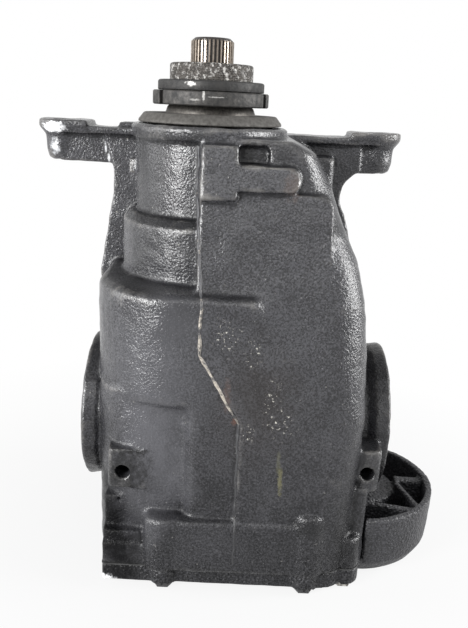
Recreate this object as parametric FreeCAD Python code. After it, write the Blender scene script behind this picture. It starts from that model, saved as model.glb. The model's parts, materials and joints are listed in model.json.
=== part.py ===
import FreeCAD, Part
import math
import os

# Rear differential, standing nose up on its rear cover, in millimetres.
# X is the output axis (left output at -X), Z the pinion axis (input at the top), and
# the origin is where the two axes cross.

V = FreeCAD.Vector

# Clearances shared by all pieces
run_gap = 0.05
loose_gap = 1.0
seat_gap = 0.3

# Final drive: crown wheel on the X axis, pinion on the Z axis
crown_teeth = 37
pinion_teeth = 12
crown_pitch_r = 76.0
drive_face_width = 24.0
drive_spiral_deg = 30.0
crown_back_x = 40.0
crown_rim_r = 77.0
crown_bolt_count = 10
crown_bolt_r = 5.0
crown_bolt_depth = 11.0
crown_seat = 3.5

# Differential gears inside the case
side_teeth = 16
spider_teeth = 10
side_pitch_r = 32.0
side_face_width = 12.0
side_back_x = 27.0
side_hub_r = 21.0
side_hub_length = 11.0
side_bore_r = 14.0
side_spline_depth = 1.2
side_spline_count = 24
spider_back_z = 36.5
spider_bore_r = 8.0
thrust_washer = 1.2

# Differential case
case_pin_wall = 8.3
case_left_x = -40.0
case_wall = 6.5
case_flange_thick = 10.0
case_window_r = 19.0
case_hub_r = 31.0
case_shaft_bore_r = 16.5
lock_pin_r = 2.0

# Taper roller bearings: bore, outer radius, width, roller radius
side_bearing = (25.0, 40.0, 18.0, 3.9)
side_roller_count = 14
head_bearing = (19.0, 38.0, 20.0, 4.6)
head_roller_count = 12
tail_bearing = (17.5, 34.0, 18.0, 4.0)
tail_roller_count = 12
taper_deg = 14.0
left_bearing_x = -46.0
right_bearing_x = 94.0
preload_shim = 2.5
snap_ring = 2.0
snap_ring_depth = 1.5

# Pinion shaft, from the gear head up to the splined end
pinion_back_z = 81.0
pinion_shim = 2.0
tail_bearing_z = 160.0
spacer_r = 23.0
spline_r = 15.0
spline_depth = 1.2
spline_count = 34
spline_top_z = 277.0
spline_end_chamfer = 1.4

# Input sleeve and what is screwed on it
sleeve_top_z = 260.0
thread_r = 29.3
neck_r = 30.5
neck_foot_r = 32.0
neck_foot_z = 227.0
neck_top_z = 232.0
sleeve_seal_r = 26.0
lock_nut_r = 41.0
lock_nut_height = 9.6
lock_nut_notch_count = 3
lock_nut_notch = 4.5
lock_nut_notch_depth = 6.0
lock_nut_first_notch_deg = 217.0
lock_ring_r = 37.5
lock_ring_height = 6.8
shield_r = 51.0
shield_top_r = 47.5
shield_top_z = 226.5
shield_height = 6.5
shield_sheet = 2.2

# Nose of the housing
nose_top_z = 219.0
nose_flange_r = 56.0
nose_flange_height = 8.5
nose_tube_r = 51.7
nose_step_z = 158.5
mid_tube_r = 61.4
mid_step_z = 115.0
pinion_seal_r = 45.0
pinion_seal_height = 8.0
pinion_seal_top_z = 216.0

# Main body of the housing
split_z = -87.0
body_left_x = -71.5
upper_left_x = -73.5
body_right_x = 118.3
body_front_y = -93.0
body_back_y = 90.0
left_front_y = -83.0
left_step_z = 36.0
upper_left_front_y = -90.0
foot_right_x = 114.0
foot_corner_r = 24.0
flange_left_x = -64.5
flange_front_y = -90.0
ridge_low_x = 30.0
ridge_high_x = 2.0
chamber_r = 81.0
case_clearance = 10.0
opening_x0 = -46.0
opening_x1 = 98.0
opening_half_y = 70.0
crown_opening_half_y = 79.5
crown_opening_x0 = 12.0
crown_opening_x1 = 66.0
bearing_boss_r = 49.0

# Side bosses with their machined rims
rim_r = 57.0
rim_width = 10.5
boss_neck_r = 50.0
left_rim_x = -85.5
right_rim_x = 141.5
output_seal_r = 43.0
output_seal_width = 9.0
output_seal_lip_r = 20.0

# Front ears
ear_left_x = -112.0
ear_right_x = 125.0
ear_y = 26.0
ear_boss_r = 17.5
ear_foot_r = 12.5
ear_hole_r = 7.0
ear_top_z = 218.0
ear_arm_top_z = 214.0
ear_bottom_z = 188.0
ear_plate = 5.0
ear_plate_half_y = 16.0
ear_arm_half_y = 11.0
web_half_y = 13.0

# Front face: its plate ends in a ledge below the nose, and a slab with an arm stands on it
front_lean = 0.252
plate_foot_z = 112.0
plate_top_z = 180.0
plate_right_x = 85.0
slab_x0 = -2.0
slab_x1 = 22.0
slab_height = 34.0
slab_proud = 4.0
arm_right_x = 62.0
arm_height = 16.0
pocket_height = 12.0
pocket_width = 20.0

# Lugs beside the rear flange, with holes that face the front
lug_hole_r = 5.0
lug_hole_depth = 22.0
lug_hole_z = -15.0
left_lug_x = -50.0
right_lug_x = 124.0
left_lug_face_y = -86.0
right_lug_face_y = -74.0

# Rear flange, gasket and cover
band_x0 = -34.0
band_x1 = 96.0
band_top_z = -46.0
band_front_y = -96.0
band_boss_r = 14.0
band_boss_rises = (1.0, 8.0)
gasket = 0.8
cover_thick = 13.0
cover_dish = 8.0
flange_bolt_r = 4.0
flange_bolt_head_r = 7.5
flange_bolt_head = 7.0
flange_bolt_grip = 20.0
bolt_inset = 7.0
bolt_row_front_y = -84.0
corner_bolt_x = 113.0
corner_bolt_y = -74.0
bolt_boss_r = 11.0
spot_face_r = 10.0
spot_face = 3.0

# Cover arm with the rear bush
pod_x = 125.0
pod_y = -10.0
pod_lip_r = 64.0
pod_foot_r = 55.0
pod_side_r = 62.8
pod_lip_z = -53.0
pod_wall = 5.0
pod_floor = 6.0
pod_root_x = 119.5
eye_x = 134.0
eye_y = -2.0
eye_r = 28.0
eye_top_z = -63.0
eye_bore_r = 12.5
bush_sleeve_r = 9.0
bush_bolt_r = 6.5
pod_rib_top_z = -56.5
wide_rib = 8.0
thin_rib = 4.5

# Small fittings on the back
fill_plug_r = 11.0
fill_plug_head_r = 15.0
fill_plug_x = 40.0
fill_plug_z = -30.0
breather_r = 5.0
breather_cap_r = 9.0
breather_x = -30.0
breather_gap = 2.1
stop_hole_r = 1.6

# Values worked out from the sizes above
pinion_pitch_r = crown_pitch_r * pinion_teeth / crown_teeth
cone_out = math.hypot(crown_pitch_r, pinion_pitch_r)
cone_in = cone_out - drive_face_width
drive_module = 2 * crown_pitch_r / crown_teeth
spider_pitch_r = side_pitch_r * spider_teeth / side_teeth
side_cone_out = math.hypot(side_pitch_r, spider_pitch_r)
side_cone_in = side_cone_out - side_face_width
side_module = 2 * side_pitch_r / side_teeth
case_flange_x = crown_back_x + case_flange_thick
side_pocket_x = side_back_x + thrust_washer
spider_pocket_z = spider_back_z + thrust_washer
case_r = spider_pocket_z + case_pin_wall
case_cavity_r = case_r - case_wall
case_chamber_r = case_r + case_clearance
lock_pin_z = case_r - 3.5
crown_bore_r = case_r + crown_seat
crown_bolt_circle_r = crown_bore_r + 9.5
case_flange_r = crown_bolt_circle_r + 9.0
head_bearing_z = pinion_back_z + pinion_shim
spacer_z = head_bearing_z + head_bearing[2]
sleeve_foot_z = tail_bearing_z + tail_bearing[2]
lock_nut_top_z = neck_top_z + lock_nut_height
lock_ring_z = lock_nut_top_z + seat_gap
cover_top_z = split_z - gasket
cover_foot_z = cover_top_z - cover_thick
flange_z = split_z + 17.0
bolt_rows = (band_x0 + 14.0, band_x1 - 13.0)
slab_top_z = nose_top_z - nose_flange_height - 1.5
slab_bottom_z = slab_top_z - slab_height
arm_top_z = slab_top_z - pocket_height
breather_out = mid_tube_r + breather_cap_r + breather_gap
breather_y = math.sqrt(breather_out ** 2 - breather_x ** 2)
far = 400.0


def cyl_z(radius, z0, z1, x=0.0, y=0.0):
    return Part.makeCylinder(radius, z1 - z0, V(x, y, z0), V(0, 0, 1))


def cyl_x(radius, x0, x1, y=0.0, z=0.0):
    return Part.makeCylinder(radius, x1 - x0, V(x0, y, z), V(1, 0, 0))


def cyl_y(radius, y0, y1, x=0.0, z=0.0):
    return Part.makeCylinder(radius, y1 - y0, V(x, y0, z), V(0, 1, 0))


def ring_x(outer, inner, x0, x1):
    return cyl_x(outer, x0, x1).cut(cyl_x(inner, x0 - 1, x1 + 1))


def ring_z(outer, inner, z0, z1):
    return cyl_z(outer, z0, z1).cut(cyl_z(inner, z0 - 1, z1 + 1))


def box(x0, x1, y0, y1, z0, z1):
    return Part.makeBox(x1 - x0, y1 - y0, z1 - z0, V(x0, y0, z0))


def turned(points):
    """A solid turned about Z from an outline of (radius, z) points."""
    wire = Part.makePolygon([V(r, 0, z) for r, z in points] + [V(points[0][0], 0, points[0][1])])
    return Part.Face(wire).revolve(V(0, 0, 0), V(0, 0, 1), 360)


def turned_x(points):
    """A solid turned about X from an outline of (x, radius) points."""
    wire = Part.makePolygon([V(x, 0, r) for x, r in points] + [V(points[0][0], 0, points[0][1])])
    return Part.Face(wire).revolve(V(0, 0, 0), V(1, 0, 0), 360)


def rounded_edges(x0, x1, y0, y1, z, radii):
    """The edges of a rectangle whose corners are arcs, from front left, anticlockwise."""
    edges = []
    middles = []
    corners = ((x0, y0, 1, 1), (x1, y0, -1, 1), (x1, y1, -1, -1), (x0, y1, 1, -1))
    for (x, y, inward_x, inward_y), radius in zip(corners, radii):
        near = radius * (1 - math.sqrt(0.5))
        along_x = V(x + inward_x * radius, y, z)
        along_y = V(x, y + inward_y * radius, z)
        middle = V(x + inward_x * near, y + inward_y * near, z)
        first_is_y = inward_x == inward_y
        middles.append((along_y, middle, along_x) if first_is_y else (along_x, middle, along_y))
    for index, (start, middle, end) in enumerate(middles):
        edges.append(Part.Arc(start, middle, end).toShape())
        edges.append(Part.makeLine(end, middles[(index + 1) % 4][0]))
    return edges


def rounded_wire(x0, x1, y0, y1, z, radii):
    return Part.Wire(rounded_edges(x0, x1, y0, y1, z, radii))


def rounded_block(x0, x1, y0, y1, z0, z1, radii):
    face = Part.Face(rounded_wire(x0, x1, y0, y1, z0, radii))
    return face.extrude(V(0, 0, z1 - z0))


def fillet_top(shape, z, radius):
    """Round every edge that lies at height z."""
    edges = [e for e in shape.Edges if abs(e.BoundBox.ZMin - z) < 0.01 and abs(e.BoundBox.ZMax - z) < 0.01]
    return shape.makeFillet(radius, edges)


def around_z(shape, count, start_deg=0.0):
    copies = []
    for index in range(count):
        copy = shape.copy()
        copy.rotate(V(0, 0, 0), V(0, 0, 1), start_deg + 360.0 * index / count)
        copies.append(copy)
    return copies


def z_to_x(shape):
    """Turn a piece made about Z so that its axis lies along +X."""
    shape = shape.copy()
    shape.rotate(V(0, 0, 0), V(0, 1, 0), 90)
    return shape


def z_to_minus_x(shape):
    shape = shape.copy()
    shape.rotate(V(0, 0, 0), V(0, 1, 0), -90)
    return shape


def moved(shape, x=0.0, y=0.0, z=0.0):
    shape = shape.copy()
    shape.translate(V(x, y, z))
    return shape


def save(name, shape):
    shape.exportStep("parts/" + name + ".step")


# Bevel gears, made about Z with the apex of the pitch cone at the origin

def tooth_section(cone, slope, half_pitch_width, addendum, dedendum, turn):
    """The trapezoid of one tooth at a distance along the pitch cone."""
    points = []
    for height, side in ((-dedendum, -1), (addendum, -1), (addendum, 1), (-dedendum, 1)):
        radius = cone * math.sin(slope) + height * math.cos(slope)
        axial = cone * math.cos(slope) - height * math.sin(slope)
        half_width = half_pitch_width - height * math.tan(math.radians(20.0))
        angle = turn + side * half_width / radius
        points.append(V(radius * math.cos(angle), radius * math.sin(angle), axial))
    return Part.makePolygon(points + [points[0]])


def bevel_teeth(count, slope, far, near, module, share, addendum, dedendum, twist, phase):
    """The teeth of a bevel gear. Share is the tooth's part of the pitch; twist is its spiral."""
    sections = []
    for step in (0.0, 0.5, 1.0):
        cone = near + (far - near) * step
        scale = cone / far
        width = share * math.pi * module * scale / 2
        turn = phase + twist * (step - 0.5)
        sink = 0.6
        sections.append(tooth_section(
            cone, slope, width, addendum * module * scale, dedendum * module * scale + sink, turn))
    tooth = Part.makeLoft(sections, True, True)
    return around_z(tooth, count)


def root_line(slope, far, near, module, dedendum):
    """The two ends of the root cone, as (radius, z)."""
    ends = []
    for cone in (near, far):
        depth = dedendum * module * cone / far
        radius = cone * math.sin(slope) - depth * math.cos(slope)
        axial = cone * math.cos(slope) + depth * math.sin(slope)
        ends.append((radius, axial))
    return ends


# Bearings, made about Z with the wide end at the top

def bearing_pieces(sizes, count):
    bore, outer, width, roller_r = sizes
    slope = math.tan(math.radians(taper_deg))
    middle_r = (bore + outer) / 2
    half_gap = (roller_r + run_gap) / math.cos(math.radians(taper_deg))
    rise = width / 2 * slope
    outside = middle_r + half_gap
    inside = middle_r - half_gap
    cup = turned([(outer, 0), (outer, width), (outside + rise, width), (outside - rise, 0)])
    cone = turned([(bore, 0), (inside - rise, 0), (inside + rise, width), (bore, width)])
    length = 0.72 * width
    roller = Part.makeCylinder(roller_r, length, V(0, 0, -length / 2), V(0, 0, 1))
    roller.rotate(V(0, 0, 0), V(0, 1, 0), taper_deg)
    roller.translate(V(middle_r, 0, width / 2))
    rollers = Part.makeCompound(around_z(roller, count))
    return cup, cone, rollers


# Housing

def right_body():
    """The chamber of the crown wheel: a loft that leans back to the nose, with a rounded shoulder."""
    top = nose_top_z - 6.0
    high_left = ridge_high_x - 6.0
    levels = (
        (split_z, ridge_low_x, foot_right_x, body_front_y, foot_corner_r),
        (-45.0, ridge_low_x, foot_right_x + 1.5, body_front_y, 25.0),
        (0.0, ridge_low_x, body_right_x - 0.5, body_front_y, 26.0),
        (29.0, ridge_low_x, body_right_x, body_front_y, 26.0),
        (74.0, ridge_high_x, body_right_x - 2.5, body_front_y + 3.0, 26.0),
        (110.0, ridge_high_x, body_right_x - 6.5, body_front_y + 9.0, 24.0),
        (135.0, ridge_high_x - 3.0, body_right_x - 12.8, body_front_y + 16.0, 22.0),
        (155.0, ridge_high_x - 4.6, body_right_x - 22.0, body_front_y + 20.8, 22.0),
        (164.0, ridge_high_x - 5.4, body_right_x - 25.8, body_front_y + 27.5, 22.0),
        (180.0, high_left, body_right_x - 31.8, body_front_y + 33.0, 20.0),
        (190.0, high_left, body_right_x - 36.3, body_front_y + 36.0, 18.0),
        (205.0, high_left, body_right_x - 45.3, body_front_y + 38.0, 14.0),
        (top, high_left, body_right_x - 61.3, body_front_y + 39.0, 8.0),
    )
    wires = []
    for z, left, right, front, radius in levels:
        back = min(body_back_y, body_back_y - (z - 60.0) * 0.28)
        wires.append(rounded_wire(left, right, front, back, z, (2.0, radius, radius, radius)))
    return Part.makeLoft(wires, True, True)


def left_body():
    """The stepped chambers on the pinion side: the upper one overhangs the lower one."""
    inner_x = ridge_low_x + 12.0
    lower = rounded_block(body_left_x, inner_x, left_front_y, body_back_y, split_z, left_step_z + 8.0,
                          (38.0, 2.0, 2.0, 24.0))
    belly = rounded_block(ridge_high_x - 9.0, inner_x, upper_left_front_y, 0.0, split_z, left_step_z + 8.0,
                          (9.0, 2.0, 2.0, 2.0))
    upper = rounded_block(upper_left_x, inner_x, upper_left_front_y, body_back_y - 12.0,
                          left_step_z, mid_step_z, (58.0, 2.0, 2.0, 24.0))
    upper = fillet_top(upper, left_step_z, 5.0)
    upper = fillet_top(upper, mid_step_z, 6.0)
    return lower.fuse([belly, upper])


def nose():
    low = mid_step_z - 12.0
    flange_foot = nose_top_z - nose_flange_height
    return turned([(0, low), (mid_tube_r, low), (mid_tube_r, nose_step_z - 6.0),
                   (mid_tube_r - 6.0, nose_step_z), (nose_tube_r, nose_step_z),
                   (nose_tube_r, flange_foot - 2.0),
                   (nose_flange_r - 1.0, flange_foot), (nose_flange_r, nose_top_z - 2.0),
                   (nose_flange_r - 2.0, nose_top_z), (0, nose_top_z)])


def side_boss(root_x, rim_x, inward):
    """A boss about X with its turned rim; inward is the X direction towards the body."""
    neck_x = rim_x + inward * (rim_width + 5.0)
    return turned_x([(root_x, 0), (root_x, boss_neck_r), (neck_x, boss_neck_r),
                     (rim_x + inward * rim_width, rim_r - 1.5), (rim_x + inward * 1.5, rim_r),
                     (rim_x, rim_r - 1.5), (rim_x, 0)])


def side_bosses():
    left = side_boss(body_left_x + 24.0, left_rim_x, 1)
    return left.fuse(side_boss(body_right_x - 24.0, right_rim_x, -1))


def web_outline(points, bend, y0, y1):
    """A plate in the XZ plane whose first corner pair is joined by an arc through bend."""
    start = V(points[0][0], y0, points[0][1])
    end = V(points[1][0], y0, points[1][1])
    edges = [Part.Arc(start, V(bend[0], y0, bend[1]), end).toShape()]
    corners = [V(x, y0, z) for x, z in points[1:]] + [start]
    for near, far in zip(corners, corners[1:]):
        edges.append(Part.makeLine(near, far))
    return Part.Face(Part.Wire(edges)).extrude(V(0, y1 - y0, 0))


def ear(ear_x, way):
    """One ear: a boss with a wide pad, an arm towards the nose and the arm's top plate."""
    foot = ear_bottom_z
    pad_z = ear_top_z - ear_plate
    boss = turned([(0, foot), (ear_foot_r - 5.0, foot), (ear_foot_r - 1.5, foot + 2.0),
                   (ear_foot_r, foot + 8.0), (ear_foot_r, pad_z - 6.0), (ear_boss_r, pad_z),
                   (ear_boss_r, ear_top_z), (0, ear_top_z)])
    pieces = [moved(boss, ear_x, ear_y)]
    inner = ear_x - way * 21.0
    plate_z = ear_arm_top_z - ear_plate
    for end, half_y, z0, z1 in ((way * 30.0, ear_arm_half_y, foot, ear_arm_top_z),
                                (way * 30.0, ear_plate_half_y, plate_z, ear_arm_top_z),
                                (inner, ear_boss_r, pad_z, ear_top_z)):
        low, high = sorted((ear_x, end))
        pieces.append(box(low, high, ear_y - half_y, ear_y + half_y, z0, z1))
    return pieces


def ears():
    left_x = ear_left_x + 34.0
    right_x = ear_right_x - 13.0
    low_x = left_x - 4.0
    left_points = [(left_x, ear_arm_top_z - 9.0), (left_x + 4.3, ear_bottom_z - 28.0), (low_x, mid_step_z - 6.0),
                   (low_x, 0.0), (-30.0, 0.0), (-30.0, ear_arm_top_z), (left_x, ear_arm_top_z)]
    right_points = [(right_x, ear_bottom_z + 1), (right_x - 8.0, ear_bottom_z - 31.0),
                    (right_x + 3.0, mid_step_z + 4.0), (right_x + 2.0, 60.0), (30.0, 60.0),
                    (30.0, ear_arm_top_z), (right_x, ear_arm_top_z)]
    near = ear_y - web_half_y
    left = web_outline(left_points, (left_x + 6.2, ear_bottom_z - 5.0), near, ear_y + web_half_y)
    right = web_outline(right_points, (right_x - 10.5, ear_bottom_z - 9.0), near, ear_y + web_half_y)
    return ear(ear_left_x, -1) + ear(ear_right_x, 1) + [left, right]


def front_y(z):
    """The plane of the front face at height z, above the belly."""
    return body_front_y + 9.0 + (z - 110.0) * front_lean


def leaning_block(x0, x1, z0, z1, proud, corner):
    """A block whose front leans back with the front face, with its right corners rounded."""
    depth = 20.0
    low = front_y(z0) - proud
    high = front_y(z1) - proud
    points = [V(x0, low, z0), V(x0, high, z1), V(x0, high + depth, z1), V(x0, low + depth, z0)]
    block = Part.Face(Part.makePolygon(points + [points[0]])).extrude(V(x1 - x0, 0, 0))
    corners = [e for e in block.Edges if e.BoundBox.XMin > x1 - 0.1 and e.BoundBox.ZLength < 0.1]
    return block.makeFillet(corner, corners)


def front_bars():
    """The plate of the front face, and the slab with its arm that stand on it near the nose."""
    plate = leaning_block(slab_x0, plate_right_x, plate_foot_z, plate_top_z, 0.0, 9.0)
    slab = leaning_block(slab_x0, slab_x1, slab_bottom_z, slab_top_z, slab_proud, 1.0)
    arm = leaning_block(slab_x1 - 4.0, arm_right_x, arm_top_z - arm_height, arm_top_z, slab_proud, 6.5)
    return [plate, slab, arm]


def front_pocket():
    """The recess between the slab, its arm and the shoulder."""
    block = box(slab_x1 - 1.0, slab_x1 + pocket_width, front_y(arm_top_z) - 12.0, 1.0 - nose_tube_r,
                arm_top_z - 6.0, slab_top_z)
    return block.makeFillet(4.0, [e for e in block.Edges if e.BoundBox.YLength > 5.0])


def lugs():
    """The two lugs with holes that face the front, each with a step beside it and a column below."""
    left_y = left_lug_face_y
    right_y = right_lug_face_y
    left_column = left_lug_x - 14.0
    right_column = pod_root_x + 6.0
    return [
        rounded_block(left_lug_x - 9.8, left_lug_x + 7.7, left_y, left_y + 45.0,
                      lug_hole_z - 12.0, lug_hole_z + 17.7, (3.0, 3.0, 2.0, 2.0)),
        rounded_block(left_lug_x + 6.0, left_lug_x + 20.0, left_y + 1.6, left_y + 45.0,
                      lug_hole_z - 13.0, lug_hole_z + 16.0, (2.0, 5.0, 2.0, 2.0)),
        rounded_block(left_column, left_column + 19.0, left_y + 6.0, left_y + 40.0,
                      split_z, lug_hole_z - 22.0, (3.0, 3.0, 2.0, 2.0)),
        rounded_block(flange_left_x, flange_left_x + 30.0, left_y - 2.0, left_y + 40.0,
                      split_z, flange_z + 9.0, (6.0, 5.0, 2.0, 2.0)),
        rounded_block(right_lug_x - 6.0, right_lug_x + 9.5, right_y, right_y + 34.0,
                      lug_hole_z - 14.0, lug_hole_z + 18.0, (3.0, 6.0, 6.0, 2.0)),
        rounded_block(right_lug_x - 14.0, right_lug_x - 4.0, right_y + 3.0, right_y + 34.0,
                      lug_hole_z - 20.0, lug_hole_z + 13.0, (5.0, 2.0, 2.0, 2.0)),
        rounded_block(right_lug_x - 15.0, right_column, right_y - 2.0, right_y + 28.0,
                      split_z, lug_hole_z - 11.0, (3.0, 3.0, 3.0, 3.0)),
    ]


def small_bosses():
    """Cast pads: beside the nose tube, behind the shoulder and on the left arm."""
    tube_x = -nose_tube_r
    shoulder_x = body_right_x - 42.3
    step_x = ear_left_x + 44.0
    return [box(tube_x - 4.3, tube_x + 6.7, -12.0, 6.0, nose_top_z - 35.0, nose_top_z - 25.0),
            rounded_block(shoulder_x, shoulder_x + 15.0, -8.0, 20.0, mid_step_z + 25.0, nose_top_z - 19.0,
                          (5.0, 5.0, 5.0, 5.0)),
            box(step_x, step_x + 14.0, ear_y - 10.0, ear_y + 10.0, ear_arm_top_z - 1.0, ear_top_z - 0.5)]


def flange_bolt_places():
    """Centres of the cover bolts: two rows, the sides and the corner beside the arm."""
    back = body_back_y - bolt_inset + 2.0
    left = flange_left_x + bolt_inset + 3.0
    places = [(corner_bolt_x, corner_bolt_y), (foot_right_x - bolt_inset, 62.0), (left, 0.0)]
    for x in bolt_rows:
        places.append((x, bolt_row_front_y))
        places.append((x, back))
    for y in (-62.0, 62.0):
        places.append((left, y))
    return places


def flange_outline(z0, z1):
    """The rear flange: a rounded plate with a bump at each bolt."""
    plate = rounded_block(flange_left_x, foot_right_x, flange_front_y, body_back_y, z0, z1,
                          (3.0, foot_corner_r - 4.0, 12.0, 12.0))
    for x, y in flange_bolt_places():
        plate = plate.fuse(cyl_z(bolt_boss_r, z0, z1, x, y))
    return plate.common(box(flange_left_x, far, -far, far, z0, z1))


def rear_flange():
    band = rounded_block(band_x0, band_x1, band_front_y, -60.0, split_z, band_top_z, (8.0, 8.0, 2.0, 2.0))
    band = fillet_top(band, band_top_z, 4.0)
    pieces = [band, flange_outline(split_z, flange_z)]
    for x, rise in zip(bolt_rows, band_boss_rises):
        top = band_top_z + rise
        pieces.append(fillet_top(cyl_z(band_boss_r, split_z, top, x, bolt_row_front_y), top, 4.0))
    corner_top = split_z + flange_bolt_grip + 5.0
    corner = cyl_z(bolt_boss_r, split_z, corner_top, corner_bolt_x, corner_bolt_y)
    pieces.append(fillet_top(corner, corner_top, 3.0))
    return pieces


def housing_outer():
    body = right_body().cut(front_pocket())
    extras = ears() + front_bars() + lugs() + small_bosses() + rear_flange()
    return body.fuse([left_body(), nose(), side_bosses()] + extras)


def opening(z0, z1, inset=0.0):
    """The mouth of the housing, wider where the crown wheel passes."""
    radii = (10.0, 10.0, 10.0, 10.0)
    half_y = opening_half_y - inset
    wide_half_y = crown_opening_half_y - inset
    main = rounded_block(opening_x0 + inset, opening_x1 - inset, -half_y, half_y, z0, z1, radii)
    wide = rounded_block(crown_opening_x0 + inset, crown_opening_x1 - inset, -wide_half_y, wide_half_y,
                         z0, z1, radii)
    return main.fuse(wide)


def housing_cavity():
    """The space for the crown wheel, the case and the pinion, open at the rear flange."""
    room_x0 = opening_x0 - 10.0
    room_x1 = opening_x1 + 6.0
    right_r = case_chamber_r + 6.0
    room = turned_x([(room_x0, 0), (room_x0, case_chamber_r), (12.0, case_chamber_r), (12.0, chamber_r),
                     (62.0, chamber_r), (74.0, right_r), (room_x1, right_r), (room_x1, 0)])
    left_boss = cyl_x(bearing_boss_r, -far, left_bearing_x + 1.0)
    right_boss = cyl_x(bearing_boss_r, right_bearing_x - 1.0, far)
    return room.fuse(opening(split_z - 1.0, 0.0)).cut(left_boss).cut(right_boss)


def pinion_bore():
    head_outer = head_bearing[1]
    tail_outer = tail_bearing[1]
    head_shoulder = head_outer - 4.0
    tail_shoulder = tail_outer - 4.0
    seal_foot = pinion_seal_top_z - pinion_seal_height
    return turned([(0, 30.0), (head_outer, 30.0), (head_outer, spacer_z), (head_shoulder, spacer_z),
                   (tail_shoulder, spacer_z + 10.0), (tail_shoulder, tail_bearing_z),
                   (tail_outer, tail_bearing_z), (tail_outer, sleeve_foot_z + 8.0),
                   (pinion_seal_r - 4.0, sleeve_foot_z + 14.0),
                   (pinion_seal_r - 4.0, seal_foot), (pinion_seal_r, seal_foot),
                   (pinion_seal_r, nose_top_z + 1.0), (0, nose_top_z + 1.0)])


def snap_ring_x():
    """Start and end of each snap ring groove along X."""
    left = left_bearing_x - side_bearing[2] - preload_shim
    right = right_bearing_x + side_bearing[2] + preload_shim
    return (left - snap_ring, left), (right, right + snap_ring)


def side_bores():
    seat = side_bearing[1]
    left = cyl_x(seat, left_rim_x - 1.0, left_bearing_x + 2.0)
    bore = left.fuse(cyl_x(seat, right_bearing_x - 2.0, right_rim_x + 1.0))
    for x0, x1 in snap_ring_x():
        bore = bore.fuse(cyl_x(seat + snap_ring_depth, x0, x1))
    bore = bore.fuse(cyl_x(output_seal_r, left_rim_x - 1.0, left_rim_x + 1.5 + output_seal_width))
    return bore.fuse(cyl_x(output_seal_r, right_rim_x - 1.5 - output_seal_width, right_rim_x + 1.0))


def small_holes():
    holes = []
    for ear_x in (ear_left_x, ear_right_x):
        holes.append(cyl_z(ear_hole_r, ear_bottom_z - 1.0, ear_top_z + 1.0, ear_x, ear_y))
    for lug_x, face_y in ((left_lug_x, left_lug_face_y), (right_lug_x, right_lug_face_y)):
        holes.append(cyl_y(lug_hole_r, face_y - 1.0, face_y + lug_hole_depth, lug_x, lug_hole_z))
    stop_y = left_lug_face_y + 5.0
    holes.append(cyl_y(stop_hole_r, stop_y, stop_y + 7.0, left_lug_x - 3.0, lug_hole_z - 25.0))
    for x, y in flange_bolt_places():
        holes.append(cyl_z(flange_bolt_r + run_gap, split_z - 1.0, split_z + flange_bolt_grip + 2.0, x, y))
    holes.append(cyl_y(fill_plug_r + run_gap, 60.0, 120.0, fill_plug_x, fill_plug_z))
    return holes


def housing():
    body = housing_outer()
    body = body.cut([housing_cavity(), pinion_bore(), side_bores()] + small_holes())
    return body.removeSplitter()


# Rear cover

def pod_ribs():
    """The ribs between the eye and the wall: a wide one, one across and one beside the column."""
    places = ((eye_x, eye_y + 1.0, -3.0, wide_rib), (eye_x + 26.0, eye_y, -74.0, thin_rib),
              (pod_root_x, eye_y - 37.0, -11.0, thin_rib))
    ribs = []
    for x, y, angle, width in places:
        web = box(0.0, 2 * pod_lip_r, -width / 2, width / 2, cover_foot_z, pod_rib_top_z)
        web.rotate(V(0, 0, 0), V(0, 0, 1), angle)
        ribs.append(moved(web, x, y))
    return ribs


def pod():
    """The ribbed cup beside the body that holds the rear bush."""
    side_z = cover_foot_z + 20.0
    cup = moved(turned([(0, cover_foot_z), (pod_foot_r, cover_foot_z), (pod_foot_r + 2.2, cover_foot_z + 2.5),
                        (pod_side_r - 1.0, cover_foot_z + 10.0), (pod_side_r, side_z), (pod_lip_r, pod_lip_z),
                        (0, pod_lip_z)]), pod_x, pod_y)
    floor_z = cover_foot_z + pod_floor
    room = moved(turned([(0, floor_z), (pod_foot_r - 6.0, floor_z), (pod_side_r - pod_wall, side_z),
                         (pod_lip_r - pod_wall, pod_lip_z + 1.0), (0, pod_lip_z + 1.0)]), pod_x, pod_y)
    room = room.common(box(pod_root_x + pod_wall, far, -far, far, cover_foot_z, far))
    eye = cyl_z(eye_r, cover_foot_z, eye_top_z, eye_x, eye_y)
    above_eye = cyl_z(eye_r, eye_top_z, far, eye_x, eye_y)
    shell = cup.cut(room).fuse([eye] + [rib.cut(above_eye) for rib in pod_ribs()])
    shell = shell.common(cup).common(box(pod_root_x, far, -far, far, cover_foot_z, far))
    column_x = pod_root_x + 6.0 + loose_gap
    column_y = right_lug_face_y + 28.0 + loose_gap
    return shell.cut(box(0.0, column_x, -far, column_y, cover_top_z, far))


def rear_cover():
    plate = flange_outline(cover_foot_z, cover_top_z)
    dish = opening(cover_top_z - cover_dish, cover_top_z + 1.0, 4.0)
    root = box(foot_right_x - 10.0, pod_root_x + 2.0, pod_y - 50.0, pod_y + 50.0, cover_foot_z, cover_top_z)
    cover = plate.fuse([root, pod()]).cut(dish)
    holes = []
    for x, y in flange_bolt_places():
        holes.append(cyl_z(flange_bolt_r + run_gap, cover_foot_z - 1.0, cover_top_z + 1.0, x, y))
        holes.append(cyl_z(spot_face_r, cover_foot_z - 1.0, cover_foot_z + spot_face, x, y))
    holes.append(cyl_z(eye_bore_r, cover_foot_z - 1.0, far, eye_x, eye_y))
    return cover.cut(holes).removeSplitter()


def cover_gasket():
    sheet = flange_outline(cover_top_z, split_z)
    cuts = [opening(cover_top_z - 1.0, split_z + 1.0)]
    for x, y in flange_bolt_places():
        cuts.append(cyl_z(flange_bolt_r + run_gap, cover_top_z - 1.0, split_z + 1.0, x, y))
    return sheet.cut(cuts)


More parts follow.
